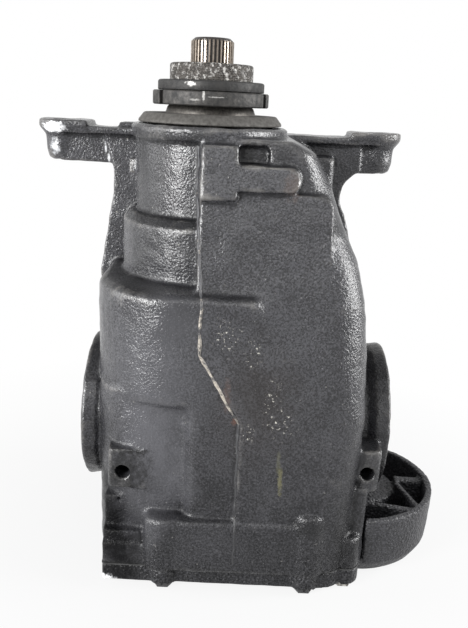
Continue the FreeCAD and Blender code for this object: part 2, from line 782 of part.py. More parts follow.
def hexagon(radius, z0, z1, x=0.0, y=0.0):
    points = [V(x + radius * math.cos(math.radians(60 * k)), y + radius * math.sin(math.radians(60 * k)), z0)
              for k in range(7)]
    return Part.Face(Part.makePolygon(points)).extrude(V(0, 0, z1 - z0))


def cover_bolts():
    """Hexagon bolts with a flange under the head, each in its spot face."""
    seat = cover_foot_z + spot_face
    bolts = []
    for x, y in flange_bolt_places():
        shank = cyl_z(flange_bolt_r, seat, split_z + flange_bolt_grip, x, y)
        washer = cyl_z(flange_bolt_head_r + 1.0, seat - 1.5, seat, x, y)
        head = hexagon(flange_bolt_head_r, seat - flange_bolt_head, seat - 1.5, x, y)
        bolts.append(shank.fuse([washer, head]))
    return Part.makeCompound(bolts)


# Pinion and input

def pinion_slope():
    return math.atan2(pinion_pitch_r, crown_pitch_r)


def drive_pinion():
    slope = pinion_slope()
    root = root_line(slope, cone_out, cone_in, drive_module, 0.6)
    twist = math.radians(drive_spiral_deg)
    teeth = bevel_teeth(pinion_teeth, slope, cone_out, cone_in, drive_module, 0.46, 0.9, 0.6, twist,
                        math.pi / pinion_teeth)
    head_r = head_bearing[0]
    tail_r = tail_bearing[0]
    core_r = spline_r - spline_depth
    chamfer_z = spline_top_z - spline_end_chamfer
    shaft = turned([(0, root[0][1]), (root[0][0], root[0][1]), (root[1][0], root[1][1]),
                    (root[1][0], pinion_back_z), (head_r, pinion_back_z), (head_r, spacer_z + 6.0),
                    (tail_r, spacer_z + 8.0),
                    (tail_r, sleeve_foot_z), (core_r, sleeve_foot_z), (core_r, chamfer_z),
                    (core_r - spline_end_chamfer, spline_top_z), (0, spline_top_z)])
    return shaft.fuse(teeth).fuse(spline_teeth(sleeve_foot_z, spline_top_z - 1.0))


def spline_teeth(z0, z1):
    """The tooth ribs of the splined end, trapezoids that narrow outwards and are chamfered at the end."""
    pitch = 2 * math.pi * spline_r / spline_count
    inner = spline_r - spline_depth - 0.4
    outline = [V(inner, -0.32 * pitch, z0), V(spline_r, -0.18 * pitch, z0), V(spline_r, 0.18 * pitch, z0),
               V(inner, 0.32 * pitch, z0)]
    tooth = Part.Face(Part.makePolygon(outline + [outline[0]])).extrude(V(0, 0, z1 - z0))
    cone = turned([(0, z0), (spline_r, z0), (spline_r, z1 - spline_end_chamfer),
                   (spline_r - spline_end_chamfer, z1), (0, z1)])
    return around_z(tooth.common(cone), spline_count)


def input_sleeve():
    bore = spline_r + run_gap
    return turned([(bore, sleeve_foot_z), (sleeve_seal_r, sleeve_foot_z),
                   (sleeve_seal_r, pinion_seal_top_z + 1.0), (neck_foot_r, pinion_seal_top_z + 2.0),
                   (neck_foot_r, neck_foot_z), (neck_r, neck_top_z - 1.0), (thread_r, neck_top_z),
                   (thread_r, sleeve_top_z - 1.0), (thread_r - 1.0, sleeve_top_z), (bore, sleeve_top_z)])


def lock_nut():
    """The slotted lock nut: a thick ring with narrow notches for its key."""
    top = lock_nut_top_z
    inner = thread_r + run_gap
    nut = turned([(inner, neck_top_z), (lock_nut_r - 0.8, neck_top_z), (lock_nut_r, neck_top_z + 0.8),
                  (lock_nut_r, top - 0.8), (lock_nut_r - 0.8, top), (inner, top)])
    notch = Part.makeBox(lock_nut_notch_depth + 2.0, lock_nut_notch, lock_nut_height + 2.0,
                         V(lock_nut_r - lock_nut_notch_depth, -lock_nut_notch / 2, neck_top_z - 1.0))
    return nut.cut(around_z(notch, lock_nut_notch_count, lock_nut_first_notch_deg))


def lock_ring():
    z0 = lock_ring_z
    z1 = z0 + lock_ring_height
    inner = thread_r + run_gap
    return turned([(inner, z0), (lock_ring_r, z0), (lock_ring_r, z1 - 1.0), (lock_ring_r - 1.0, z1),
                   (inner, z1)])


def dust_shield():
    top = shield_top_z
    foot = top - shield_height
    inner = neck_foot_r + run_gap
    return turned([(inner, top), (shield_top_r - 1.0, top), (shield_top_r, top - 0.6), (shield_r, foot + 1.5),
                   (shield_r, foot), (shield_r - shield_sheet, foot),
                   (shield_top_r - shield_sheet, top - shield_sheet), (inner, top - shield_sheet)])


def spacer():
    """The crush sleeve between the pinion bearings, with its bulge."""
    inner = head_bearing[0] + run_gap
    low = spacer_z
    high = tail_bearing_z
    middle = (low + high) / 2
    return turned([(inner, low), (spacer_r, low), (spacer_r, middle - 8.0), (spacer_r + 3.0, middle),
                   (spacer_r, middle + 8.0), (spacer_r, high), (inner, high), (inner, middle + 8.0),
                   (inner + 3.0, middle), (inner, middle - 8.0)])


def pinion_seal():
    top = pinion_seal_top_z
    foot = top - pinion_seal_height
    lip = sleeve_seal_r + seat_gap
    return turned([(pinion_seal_r, foot), (pinion_seal_r, top), (lip + 3.0, top), (lip, top - 3.0),
                   (lip + 2.0, foot + 2.0), (pinion_seal_r - 3.0, foot + 2.0), (pinion_seal_r - 3.0, foot)])


# Carrier

def crown_slope():
    return math.atan2(crown_pitch_r, pinion_pitch_r)


def crown_wheel():
    slope = crown_slope()
    root = root_line(slope, cone_out, cone_in, drive_module, 1.15)
    twist = -math.radians(drive_spiral_deg) * pinion_teeth / crown_teeth
    teeth = bevel_teeth(crown_teeth, slope, cone_out, cone_in, drive_module, 0.34, 0.4, 1.15, twist, math.pi)
    blank = turned([(crown_bore_r, root[0][1]), (root[0][0], root[0][1]), (root[1][0], root[1][1]),
                    (crown_rim_r, root[1][1] + 3.0), (crown_rim_r, crown_back_x),
                    (crown_bore_r, crown_back_x)])
    wheel = z_to_x(blank.fuse(teeth))
    hole = cyl_x(crown_bolt_r + run_gap, crown_back_x - crown_bolt_depth - 1.0, crown_back_x + 1.0,
                 0.0, crown_bolt_circle_r)
    return wheel.cut(around_x(hole, crown_bolt_count))


def around_x(shape, count, start_deg=0.0):
    copies = []
    for index in range(count):
        copy = shape.copy()
        copy.rotate(V(0, 0, 0), V(1, 0, 0), start_deg + 360.0 * index / count)
        copies.append(copy)
    return copies


def crown_wheel_bolts():
    shank = cyl_x(crown_bolt_r, crown_back_x - crown_bolt_depth, case_flange_x, 0.0, crown_bolt_circle_r)
    head = hexagon(1.6 * crown_bolt_r, 0.0, 6.5)
    head = moved(z_to_x(head), case_flange_x, 0.0, crown_bolt_circle_r)
    return Part.makeCompound(around_x(shank.fuse(head), crown_bolt_count))


def differential_case():
    journal = side_bearing[0]
    left_end = left_bearing_x - side_bearing[2]
    right_end = right_bearing_x + side_bearing[2]
    seat_r = crown_bore_r - run_gap
    hub_end = side_back_x + side_hub_length + loose_gap
    outline = [(left_end, case_shaft_bore_r), (left_end, journal), (left_bearing_x, journal),
               (left_bearing_x, case_hub_r), (case_left_x, case_hub_r), (case_left_x + 8.0, case_r),
               (28.0, case_r), (28.0, seat_r), (crown_back_x, seat_r),
               (crown_back_x, case_flange_r), (case_flange_x, case_flange_r), (case_flange_x, case_r),
               (case_flange_x + 16.0, case_hub_r), (right_bearing_x, case_hub_r), (right_bearing_x, journal),
               (right_end, journal), (right_end, case_shaft_bore_r)]
    case = turned_x(outline)
    cuts = [cyl_x(case_cavity_r, -side_pocket_x, side_pocket_x),
            cyl_x(side_hub_r + run_gap, -hub_end, hub_end),
            cyl_z(spider_r() + 1.5, -spider_pocket_z, spider_pocket_z),
            cyl_z(spider_bore_r + run_gap, -case_r - 1.0, case_r + 1.0),
            cyl_y(case_window_r, -case_r - 5.0, case_r + 5.0),
            cyl_x(lock_pin_r + run_gap, case_left_x - 12.0, 14.0, 0.0, lock_pin_z)]
    hole = cyl_x(crown_bolt_r + run_gap, crown_back_x - 1.0, case_flange_x + 1.0, 0.0, crown_bolt_circle_r)
    return case.cut(cuts + around_x(hole, crown_bolt_count))


def spider_r():
    """Outer radius of the flat back of a spider gear."""
    return spider_pitch_r - 3.0


def side_gear_shape():
    """A side gear about Z, back at the top, with its splined bore."""
    slope = math.atan2(side_pitch_r, spider_pitch_r)
    root = root_line(slope, side_cone_out, side_cone_in, side_module, 1.0)
    teeth = bevel_teeth(side_teeth, slope, side_cone_out, side_cone_in, side_module, 0.40, 0.75, 1.0,
                        0.0, 0.0)
    end = side_back_x + side_hub_length
    bore = side_bore_r - side_spline_depth
    blank = turned([(bore, root[0][1]), (root[0][0], root[0][1]), (root[1][0], root[1][1]),
                    (root[1][0] + 1.0, side_back_x), (side_hub_r, side_back_x), (side_hub_r, end),
                    (bore, end)])
    pitch = 2 * math.pi * side_bore_r / side_spline_count
    groove = Part.makeBox(side_spline_depth + 1.0, 0.5 * pitch, end + 2.0, V(bore - 1.0, -0.25 * pitch, 0.0))
    return blank.fuse(teeth).cut(around_z(groove, side_spline_count))


def spider_gear_shape():
    slope = math.atan2(spider_pitch_r, side_pitch_r)
    root = root_line(slope, side_cone_out, side_cone_in, side_module, 1.0)
    teeth = bevel_teeth(spider_teeth, slope, side_cone_out, side_cone_in, side_module, 0.40, 0.75, 1.0, 0.0,
                        math.pi / spider_teeth)
    bore = spider_bore_r + run_gap
    blank = turned([(bore, root[0][1]), (root[0][0], root[0][1]), (root[1][0], root[1][1]),
                    (spider_r(), spider_back_z), (bore, spider_back_z)])
    return blank.fuse(teeth)


def cross_pin():
    pin = cyl_z(spider_bore_r, 0.5 - case_r, case_r - 0.5)
    return pin.cut(cyl_x(lock_pin_r + run_gap, -20.0, 20.0, 0.0, lock_pin_z))


def lock_pin():
    return cyl_x(lock_pin_r, case_left_x + 10.0, 13.0, 0.0, lock_pin_z)


# Small fittings

def fill_plug():
    seat = body_back_y + 1.5
    plug = cyl_y(fill_plug_r, body_back_y - 9.0, seat, fill_plug_x, fill_plug_z)
    head = cyl_y(fill_plug_head_r, seat, seat + 6.0, fill_plug_x, fill_plug_z)
    key = hexagon(6.0, 0.0, 10.0)
    key.rotate(V(0, 0, 0), V(1, 0, 0), -90)
    return plug.fuse(head).cut(moved(key, fill_plug_x, seat - 2.0, fill_plug_z))


def fill_plug_washer():
    ring = cyl_y(fill_plug_head_r, body_back_y, body_back_y + 1.5, fill_plug_x, fill_plug_z)
    hole = cyl_y(fill_plug_r + run_gap, body_back_y - 1.0, body_back_y + 2.5, fill_plug_x, fill_plug_z)
    return ring.cut(hole)


def breather():
    """A pressed cap on a short pipe, on the step behind the nose."""
    z = mid_step_z
    pipe = cyl_z(breather_r, z, z + 8.0, breather_x, breather_y)
    cap = cyl_z(breather_cap_r, z + 5.0, z + 14.0, breather_x, breather_y)
    return pipe.fuse(fillet_top(cap, z + 14.0, 2.0))


def output_seal():
    """An output seal about Z, its dust side at z = 0, growing inwards."""
    width = output_seal_width
    lip = output_seal_lip_r
    inner = output_seal_r - 2.5
    return turned([(output_seal_r, 0), (output_seal_r, width), (inner, width), (inner, 2.5),
                   (lip + 3.0, 2.5), (lip + 2.5, width - 2.0), (lip, width - 3.0), (lip + 2.0, 0)])


def save_housing_pieces():
    save("housing", housing())
    save("rear_cover", rear_cover())
    save("cover_gasket", cover_gasket())
    save("cover_bolts", cover_bolts())
    save("fill_plug", fill_plug())
    save("fill_plug_washer", fill_plug_washer())
    save("breather", breather())
    save("pinion_seal", pinion_seal())
    save("output_seal_left", moved(z_to_x(output_seal()), left_rim_x + 1.5))
    save("output_seal_right", moved(z_to_minus_x(output_seal()), right_rim_x - 1.5))
    sleeve = ring_z(bush_sleeve_r, bush_bolt_r, cover_foot_z - 1.0, eye_top_z + 1.0)
    rubber = ring_z(eye_bore_r, bush_sleeve_r, cover_foot_z + 2.0, eye_top_z - 2.0)
    save("rear_bush_sleeve", moved(sleeve, eye_x, eye_y))
    save("rear_bush_rubber", moved(rubber, eye_x, eye_y))


def save_bearings():
    cup, cone, rollers = bearing_pieces(side_bearing, side_roller_count)
    places = (("left", z_to_minus_x, left_bearing_x, -1), ("right", z_to_x, right_bearing_x, 1))
    for name, turn, x, way in places:
        save("carrier_bearing_cup_" + name, moved(turn(cup), x))
        save("carrier_bearing_cone_" + name, moved(turn(cone), x))
        save("carrier_bearing_rollers_" + name, moved(turn(rollers), x))
        seat = x + way * side_bearing[2]
        low, high = sorted((seat, seat + way * preload_shim))
        save("preload_shim_" + name, ring_x(side_bearing[1], side_bearing[1] - 7.0, low, high))
    for name, (x0, x1) in zip(("left", "right"), snap_ring_x()):
        ring = ring_x(side_bearing[1] + snap_ring_depth, side_bearing[1] - 3.0, x0, x1)
        gap = box(x0 - 1.0, x1 + 1.0, -5.0, 5.0, 0.0, 60.0)
        save("snap_ring_" + name, ring.cut(gap))
    cup, cone, rollers = bearing_pieces(head_bearing, head_roller_count)
    flip = V(0, 0, 0), V(1, 0, 0), 180
    for name, shape in (("cup", cup), ("cone", cone), ("rollers", rollers)):
        shape.rotate(*flip)
        save("pinion_head_bearing_" + name, moved(shape, z=spacer_z))
    cup, cone, rollers = bearing_pieces(tail_bearing, tail_roller_count)
    for name, shape in (("cup", cup), ("cone", cone), ("rollers", rollers)):
        save("pinion_tail_bearing_" + name, moved(shape, z=tail_bearing_z))


def save_pinion_pieces():
    save("drive_pinion", drive_pinion())
    journal = head_bearing[0]
    save("pinion_shim", ring_z(journal + 6.0, journal + run_gap, pinion_back_z, head_bearing_z))
    save("crush_sleeve", spacer())
    save("input_sleeve", input_sleeve())
    save("lock_nut", lock_nut())
    save("lock_ring", lock_ring())
    save("dust_shield", dust_shield())


def save_carrier_pieces():
    save("differential_case", differential_case())
    save("crown_wheel", crown_wheel())
    save("crown_wheel_bolts", crown_wheel_bolts())
    save("cross_pin", cross_pin())
    save("cross_pin_lock", lock_pin())
    gear = side_gear_shape()
    washer = ring_z(side_pitch_r - 3.0, side_hub_r + 0.5, side_back_x, side_pocket_x)
    for name, turn in (("left", z_to_minus_x), ("right", z_to_x)):
        save("side_gear_" + name, turn(gear))
        save("side_gear_washer_" + name, turn(washer))
    gear = spider_gear_shape()
    washer = ring_z(spider_r(), spider_bore_r + 0.5, spider_back_z, spider_pocket_z)
    save("spider_gear_a", gear)
    save("spider_washer_a", washer)
    for name, shape in (("spider_gear_b", gear), ("spider_washer_b", washer)):
        other = shape.copy()
        other.rotate(V(0, 0, 0), V(1, 0, 0), 180)
        save(name, other)


save_housing_pieces()
save_bearings()
save_pinion_pieces()
save_carrier_pieces()
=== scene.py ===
import json
import math

import bmesh
import bpy
import numpy as np
from bpy.props import FloatProperty, FloatVectorProperty, IntProperty, PointerProperty
from mathutils import Matrix, Vector
from mathutils.bvhtree import BVHTree


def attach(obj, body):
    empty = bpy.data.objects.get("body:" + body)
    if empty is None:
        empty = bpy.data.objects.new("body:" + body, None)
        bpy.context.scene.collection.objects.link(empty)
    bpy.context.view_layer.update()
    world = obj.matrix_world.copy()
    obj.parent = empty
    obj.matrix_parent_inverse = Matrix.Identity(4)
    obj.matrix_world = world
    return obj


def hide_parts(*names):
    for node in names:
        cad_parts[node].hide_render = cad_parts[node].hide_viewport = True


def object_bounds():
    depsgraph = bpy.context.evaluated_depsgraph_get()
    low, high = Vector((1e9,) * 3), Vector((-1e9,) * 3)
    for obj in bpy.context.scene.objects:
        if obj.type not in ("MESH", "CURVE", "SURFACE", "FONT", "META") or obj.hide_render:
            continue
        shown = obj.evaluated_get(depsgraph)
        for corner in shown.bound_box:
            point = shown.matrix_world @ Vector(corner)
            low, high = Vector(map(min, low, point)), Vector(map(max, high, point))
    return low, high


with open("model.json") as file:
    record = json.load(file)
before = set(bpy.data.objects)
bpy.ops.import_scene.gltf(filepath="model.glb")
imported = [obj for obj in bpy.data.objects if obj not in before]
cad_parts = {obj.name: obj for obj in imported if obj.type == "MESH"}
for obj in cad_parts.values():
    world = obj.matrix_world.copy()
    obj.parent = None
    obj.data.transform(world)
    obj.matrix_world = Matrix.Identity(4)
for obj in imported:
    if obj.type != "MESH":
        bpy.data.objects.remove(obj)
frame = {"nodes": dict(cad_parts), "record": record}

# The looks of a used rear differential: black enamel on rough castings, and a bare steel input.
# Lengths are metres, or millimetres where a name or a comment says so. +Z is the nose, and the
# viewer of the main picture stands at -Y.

bl_info = {
    "name": "Rear differential looks",
    "version": (1, 0, 0),
    "blender": (4, 5, 0),
    "location": "View3D > Sidebar > Differential",
    "description": "Cast skins, finishes and a studio stage for a packed rear differential",
    "category": "Object",
}

MM = 0.001
NODES = frame["nodes"]
CAD_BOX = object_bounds()
WELD_GAP = 0.001 * MM
SHARP_ANGLE = math.radians(32)


# Small helpers

def linear(code):
    """The linear colour of an sRGB hex code, as three numbers."""
    values = [int(code[i:i + 2], 16) / 255 for i in (1, 3, 5)]
    return [v / 12.92 if v <= 0.04045 else ((v + 0.055) / 1.055) ** 2.4 for v in values]


def opaque(colour):
    """A colour of three numbers as a colour socket takes it."""
    return (*colour, 1.0)


def rgba(code):
    """An sRGB hex code as a colour socket takes it."""
    return opaque(linear(code))


def per_mm(size):
    """The noise scale whose features are about size millimetres wide."""
    return 1 / (size * MM)


def add(tree, kind, inputs=None, **settings):
    """Add a shader node, set its properties, then fill or link its inputs."""
    made = tree.nodes.new(kind)
    for name, value in settings.items():
        setattr(made, name, value)
    for key, value in (inputs or {}).items():
        socket = made.inputs[key]
        if isinstance(value, bpy.types.NodeSocket):
            tree.links.new(value, socket)
        else:
            socket.default_value = value
    return made


def colour_setting(name, description, code):
    """A colour property of the panel, from its sRGB hex code."""
    return FloatVectorProperty(name=name, description=description, subtype="COLOR", size=3, min=0, max=1,
                               default=linear(code))


class DIFF_PG_settings(bpy.types.PropertyGroup):
    """Sizes and colours that a user of these looks would change."""
    paint: colour_setting("Enamel", "Colour of the black enamel", "#1c1c1e")
    dust: colour_setting("Dust", "Colour of the grey film and rubbed enamel", "#3b3b3e")
    bare: colour_setting("Bare iron", "Colour of iron where the enamel is worn off", "#8a8782")
    # The colour of the painted shade in hollows, on ledges, towards the bottom and in the corner under the
    # left lug
    shade_colour: colour_setting("Dirt", "Colour of the grime in hollows", "#0e0e0f")
    voxel: FloatProperty(name="Skin grain", description="Grid on which the cast skins are built",
                         subtype="DISTANCE", default=1.3 * MM, min=0.8 * MM)
    lump: FloatProperty(name="Cast lumps", description="Height of the slow waviness of the castings",
                        subtype="DISTANCE", default=0.25 * MM)
    skin_triangles: IntProperty(name="Skin triangles", description="Most triangles that one cast skin keeps",
                                default=190000)


def settings():
    """The user's settings, from the scene that holds them."""
    return bpy.context.scene.differential


# Mesh work

WEAR_ATTRIBUTE = "stand_out"
WEAR_STEPS = 8
RELAX_SHARE = 0.6
BACK_SHARE = 0.45
LONG_WAVE = 26 * MM
SHORT_WAVE = 9 * MM
SHORT_WAVE_SHARE = 0.45
HOUSING_STEPS = 3
COVER_STEPS = 4

# Where the corners of the housing's front are rounded off: x and z from and to, in millimetres, and how much
SOFT_ZONES_MM = (
    (34, 56, 68, 122, 1.0),      # end of the ledge below the nose
    (-36, 4, -40, 44, 0.35),     # recess beside the left lug
    (-42, 100, -55, -37, 0.05),  # top of the rear band
)
SOFT_FEATHER_MM = 6.0
SOFT_FRONT_Y_MM = -55.0
SOFT_STEPS = 50


def mesh_arrays(mesh):
    """The vertex positions and the edges of a mesh as numpy arrays."""
    points = np.empty(len(mesh.vertices) * 3)
    mesh.vertices.foreach_get("co", points)
    edges = np.empty(len(mesh.edges) * 2, dtype=np.int64)
    mesh.edges.foreach_get("vertices", edges)
    return points.reshape(-1, 3), edges.reshape(-1, 2)


def normals_of(mesh):
    """The vertex normals of a mesh as a numpy array."""
    normals = np.empty(len(mesh.vertices) * 3)
    mesh.vertex_normals.foreach_get("vector", normals)
    return normals.reshape(-1, 3)


def put_points(mesh, points):
    """Move a mesh's vertices to new positions."""
    mesh.vertices.foreach_set("co", points.ravel())
    mesh.update()


def neighbour_mean(points, edges):
    """The mean of each vertex's neighbours, summed along all edges at once."""
    count = np.bincount(edges.ravel(), minlength=len(points))
    total = np.zeros_like(points)
    for axis in range(points.shape[1]):
        one = np.bincount(edges[:, 0], weights=points[edges[:, 1], axis], minlength=len(points))
        two = np.bincount(edges[:, 1], weights=points[edges[:, 0], axis], minlength=len(points))
        total[:, axis] = one + two
    return total / np.maximum(count, 1)[:, None]


def relaxed(points, edges, steps, share):
    """Move each vertex by a share of the way to its neighbours' mean, step by step."""
    for _ in range(steps):
        points = points + share * (neighbour_mean(points, edges) - points)
    return points


def smoothed(points, edges, steps, share=0.5):
    """Move each vertex part of the way to its neighbours' mean, then not quite half of that away from
    it, so that corners are rounded and the form shrinks little."""
    for _ in range(steps):
        points = relaxed(points, edges, 1, share)
        points = relaxed(points, edges, 1, -BACK_SHARE * share)
    return points


def waves(points, size, seed, count=14):
    """A smooth random height of about one at each point: sine waves that run in random directions,
    with lengths around size, added up."""
    rng = np.random.default_rng(seed)
    directions = rng.normal(size=(count, 3))
    directions /= np.linalg.norm(directions, axis=1)[:, None]
    lengths = size * rng.uniform(0.7, 1.6, count)
    phases = rng.uniform(0, 2 * math.pi, count)
    turns = points @ (directions / lengths[:, None] * 2 * math.pi).T + phases
    return np.sin(turns).sum(axis=1) / math.sqrt(count)


def new_object(name, data):
    """An object that holds this mesh, camera or lamp, linked to the scene at the origin."""
    obj = bpy.data.objects.new(name, data)
    bpy.context.scene.collection.objects.link(obj)
    return obj


def bake_modifiers(obj):
    """Put the object's modifiers into its mesh."""
    graph = bpy.context.evaluated_depsgraph_get()
    obj.data = bpy.data.meshes.new_from_object(obj.evaluated_get(graph))
    obj.modifiers.clear()


def merged_copy(node):
    """A copy of a CAD node's mesh with its loose triangles joined."""
    work = bmesh.new()
    work.from_mesh(NODES[node].data)
    bmesh.ops.remove_doubles(work, verts=work.verts, dist=WELD_GAP)
    mesh = bpy.data.meshes.new(node + "_copy")
    work.to_mesh(mesh)
    work.free()
    return mesh


def softness(points):
    """How much each point is smoothed in the soft zones of the front; it fades out at their borders."""
    x, y, z = (points / MM).T
    share = np.zeros(len(points))
    for x0, x1, z0, z1, most in SOFT_ZONES_MM:
        inside = np.minimum.reduce([x - x0, x1 - x, z - z0, z1 - z]) / SOFT_FEATHER_MM
        share = np.maximum(share, most * np.clip(inside, 0, 1))
    return share * (y < SOFT_FRONT_Y_MM)


def wear_attribute(mesh):
    """Store on each vertex how far it stands out from its smoothed surroundings, in millimetres."""
    points, edges = mesh_arrays(mesh)
    flat = relaxed(points, edges, WEAR_STEPS, RELAX_SHARE)
    out = ((points - flat) * normals_of(mesh)).sum(axis=1) / MM
    layer = mesh.attributes.new(WEAR_ATTRIBUTE, "FLOAT", "POINT")
    layer.data.foreach_set("value", out.astype(np.float32))


def cast_skin(name, node, voxel, steps, lump, triangles, soft=None):
    """A casting's surface over a CAD node: its solid on a voxel grid, edges rounded by smoothing, and
    once more where soft gives a share, slow waves pushed along the normals, then thinned."""
    obj = new_object(name, merged_copy(node))
    remesh = obj.modifiers.new("grid", "REMESH")
    remesh.mode = "VOXEL"
    remesh.voxel_size = voxel
    bake_modifiers(obj)
    mesh = obj.data
    points, edges = mesh_arrays(mesh)
    points = smoothed(points, edges, steps)
    if soft:
        points = relaxed(points, edges, SOFT_STEPS, RELAX_SHARE * soft(points)[:, None])
    put_points(mesh, points)
    height = waves(points, LONG_WAVE, seed=3) + SHORT_WAVE_SHARE * waves(points, SHORT_WAVE, seed=4)
    put_points(mesh, points + normals_of(mesh) * (height * lump)[:, None])
    mesh.calc_loop_triangles()
    if len(mesh.loop_triangles) > triangles:
        thin = obj.modifiers.new("thin", "DECIMATE")
        thin.ratio = triangles / len(mesh.loop_triangles)
        bake_modifiers(obj)
    wear_attribute(obj.data)
    obj.data.shade_smooth()
    return obj


def along(corners, count):
    """Evenly spaced points on the straight lines between corner points."""
    corners = np.array(corners, dtype=float)
    lengths = np.concatenate([[0.0], np.cumsum(np.linalg.norm(np.diff(corners, axis=0), axis=1))])
    at = np.linspace(0.0, lengths[-1], count)
    return np.stack([np.interp(at, lengths, corners[:, axis]) for axis in range(corners.shape[1])], axis=1)


def grid_mesh(name, rows, width, points):
    """A mesh of quads over a rows-by-width grid of points."""
    index = np.arange(rows * width).reshape(rows, width)
    quads = np.stack([index[:-1, :-1], index[:-1, 1:], index[1:, 1:], index[1:, :-1]], axis=-1)
    mesh = bpy.data.meshes.new(name)
    mesh.vertices.add(len(points))
    mesh.vertices.foreach_set("co", points.ravel())
    mesh.loops.add(quads.size)
    mesh.loops.foreach_set("vertex_index", quads.ravel())
    mesh.polygons.add(quads.size // 4)
    mesh.polygons.foreach_set("loop_start", np.arange(0, quads.size, 4))
    mesh.update(calc_edges=True)
    mesh.validate()
    mesh.shade_smooth()
    return mesh


# The flash's corners as x and z, and its height at some z, all in millimetres
FLASH_LINE_MM = ((-4, 207), (-4, 180), (2, 110), (2, 76), (30, 29), (30.5, -40), (30.5, -78))
FLASH_HEIGHTS_MM = ((-78, 0.35), (10, 0.4), (29, 1.1), (60, 1.1), (207, 0.8))
FLASH_ROWS = 460
FLASH_COLUMNS = 9
FLASH_HALF_WIDTH = 1.25 * MM
FLASH_FOOT = 0.5 * MM
FLASH_WANDER = 0.35 * MM
FLASH_WIDTH_WAVE = 0.35 * MM
FLASH_HEIGHT_WAVE = 0.3
FLASH_EVENED_ROWS = 7
RAY_START_Y = -0.3


def line_waves(first, second, size, seed):
    """Waves at the points of a flat line, given by its two coordinates."""
    return waves(np.stack([first, second, 0 * first], axis=1), size, seed)


def parting_flash(skin):
    """A low ragged ridge that follows the casting's front. Across it, at u in -1..1, the height is
    h(1 - u^2), with h a slow wave along the line; its foot lies just under the skin."""
    line_x, line_z = (along(FLASH_LINE_MM, FLASH_ROWS) * MM).T
    tree = BVHTree.FromObject(skin, bpy.context.evaluated_depsgraph_get())
    line_x = line_x + FLASH_WANDER * line_waves(line_x, line_z, 16 * MM, seed=11)
    ahead = Vector((0, 1, 0))
    depth = np.array([tree.ray_cast(Vector((x, RAY_START_Y, z)), ahead)[0].y for x, z in zip(line_x, line_z)])
    window = np.ones(FLASH_EVENED_ROWS) / FLASH_EVENED_ROWS
    depth = np.convolve(np.pad(depth, FLASH_EVENED_ROWS // 2, mode="edge"), window, mode="valid")
    run = np.gradient(np.stack([line_x, line_z], axis=1), axis=0)
    run /= np.linalg.norm(run, axis=1)[:, None]
    u = np.linspace(-1.0, 1.0, FLASH_COLUMNS)
    half = FLASH_HALF_WIDTH + FLASH_WIDTH_WAVE * line_waves(line_z, line_x, 9 * MM, seed=12)
    at_z, heights = np.array(FLASH_HEIGHTS_MM).T * MM
    tall = np.interp(line_z, at_z, heights)
    tall = tall * (1 + FLASH_HEIGHT_WAVE * line_waves(line_z, line_x, 5 * MM, seed=13))
    x = line_x[:, None] + run[:, 1, None] * half[:, None] * u
    z = line_z[:, None] - run[:, 0, None] * half[:, None] * u
    y = depth[:, None] + FLASH_FOOT - (tall[:, None] + FLASH_FOOT) * (1 - u ** 2)
    points = np.stack([x, y, z], axis=-1).reshape(-1, 3)
    return new_object("parting_flash", grid_mesh("parting_flash", FLASH_ROWS, FLASH_COLUMNS, points))


# Shader helpers

def start_material(name):
    """A new material, its node tree, its output node and the object's coordinates."""
    material = bpy.data.materials.new(name)
    material.use_nodes = True
    tree = material.node_tree
    tree.nodes.clear()
    out = add(tree, "ShaderNodeOutputMaterial")
    place = add(tree, "ShaderNodeTexCoord").outputs["Object"]
    return material, tree, out, place


def close_material(tree, out, **inputs):
    """Link a Principled shader to the output; an underscore in an input's name stands for a space."""
    named = {key.replace("_", " "): value for key, value in inputs.items()}
    shader = add(tree, "ShaderNodeBsdfPrincipled", named)
    tree.links.new(shader.outputs["BSDF"], out.inputs["Surface"])


def noise(tree, place, size, detail, rough=0.55):
    """Noise with features about size millimetres wide."""
    return add(tree, "ShaderNodeTexNoise", {"Vector": place, "Scale": per_mm(size), "Detail": detail,
                                            "Roughness": rough}).outputs["Fac"]


def ramp(tree, value, low, high, low_out=0.0, high_out=1.0):
    """Value from low..high spread over low_out..high_out, and held at both ends."""
    return add(tree, "ShaderNodeMapRange", {"Value": value, "From Min": low, "From Max": high,
                                            "To Min": low_out, "To Max": high_out}).outputs["Result"]


def ramp_mm(tree, value, low, high, low_out=0.0, high_out=1.0):
    """A ramp between two places along an axis, given in millimetres."""
    return ramp(tree, value, low * MM, high * MM, low_out, high_out)


def maths(tree, operation, one, two):
    """One Math node's result."""
    return add(tree, "ShaderNodeMath", {0: one, 1: two}, operation=operation).outputs[0]


def times(tree, first, *others):
    """The product of two or more values."""
    for other in others:
        first = maths(tree, "MULTIPLY", first, other)
    return first


def axis_of(tree, vector, axis):
    """The X, Y or Z of a vector."""
    return add(tree, "ShaderNodeSeparateXYZ", {"Vector": vector}).outputs[axis]


def length_of(tree, vector):
    """The length of a vector."""
    return add(tree, "ShaderNodeVectorMath", {0: vector}, operation="LENGTH").outputs["Value"]


def blend_colour(tree, fac, one, two):
    """The first colour where fac is zero, the second where it is one."""
    return add(tree, "ShaderNodeMix", {0: fac, 6: one, 7: two}, data_type="RGBA").outputs[2]


def bumps(tree, height, strength, distance_mm, under=None):
    """The normal of a surface with this height on it, over another normal if one is given."""
    inputs = {"Height": height, "Strength": strength, "Distance": distance_mm * MM}
    if under is not None:
        inputs["Normal"] = under
    return add(tree, "ShaderNodeBump", inputs).outputs["Normal"]


def pimples(tree, place, size):
    """Round bumps packed side by side, size millimetres apart: one at their tops."""
    cells = add(tree, "ShaderNodeTexVoronoi", {"Vector": place, "Scale": per_mm(size), "Smoothness": 0.5},
                feature="SMOOTH_F1").outputs["Distance"]
    return ramp(tree, cells, 0.0, 0.75, 1.0, 0.0)


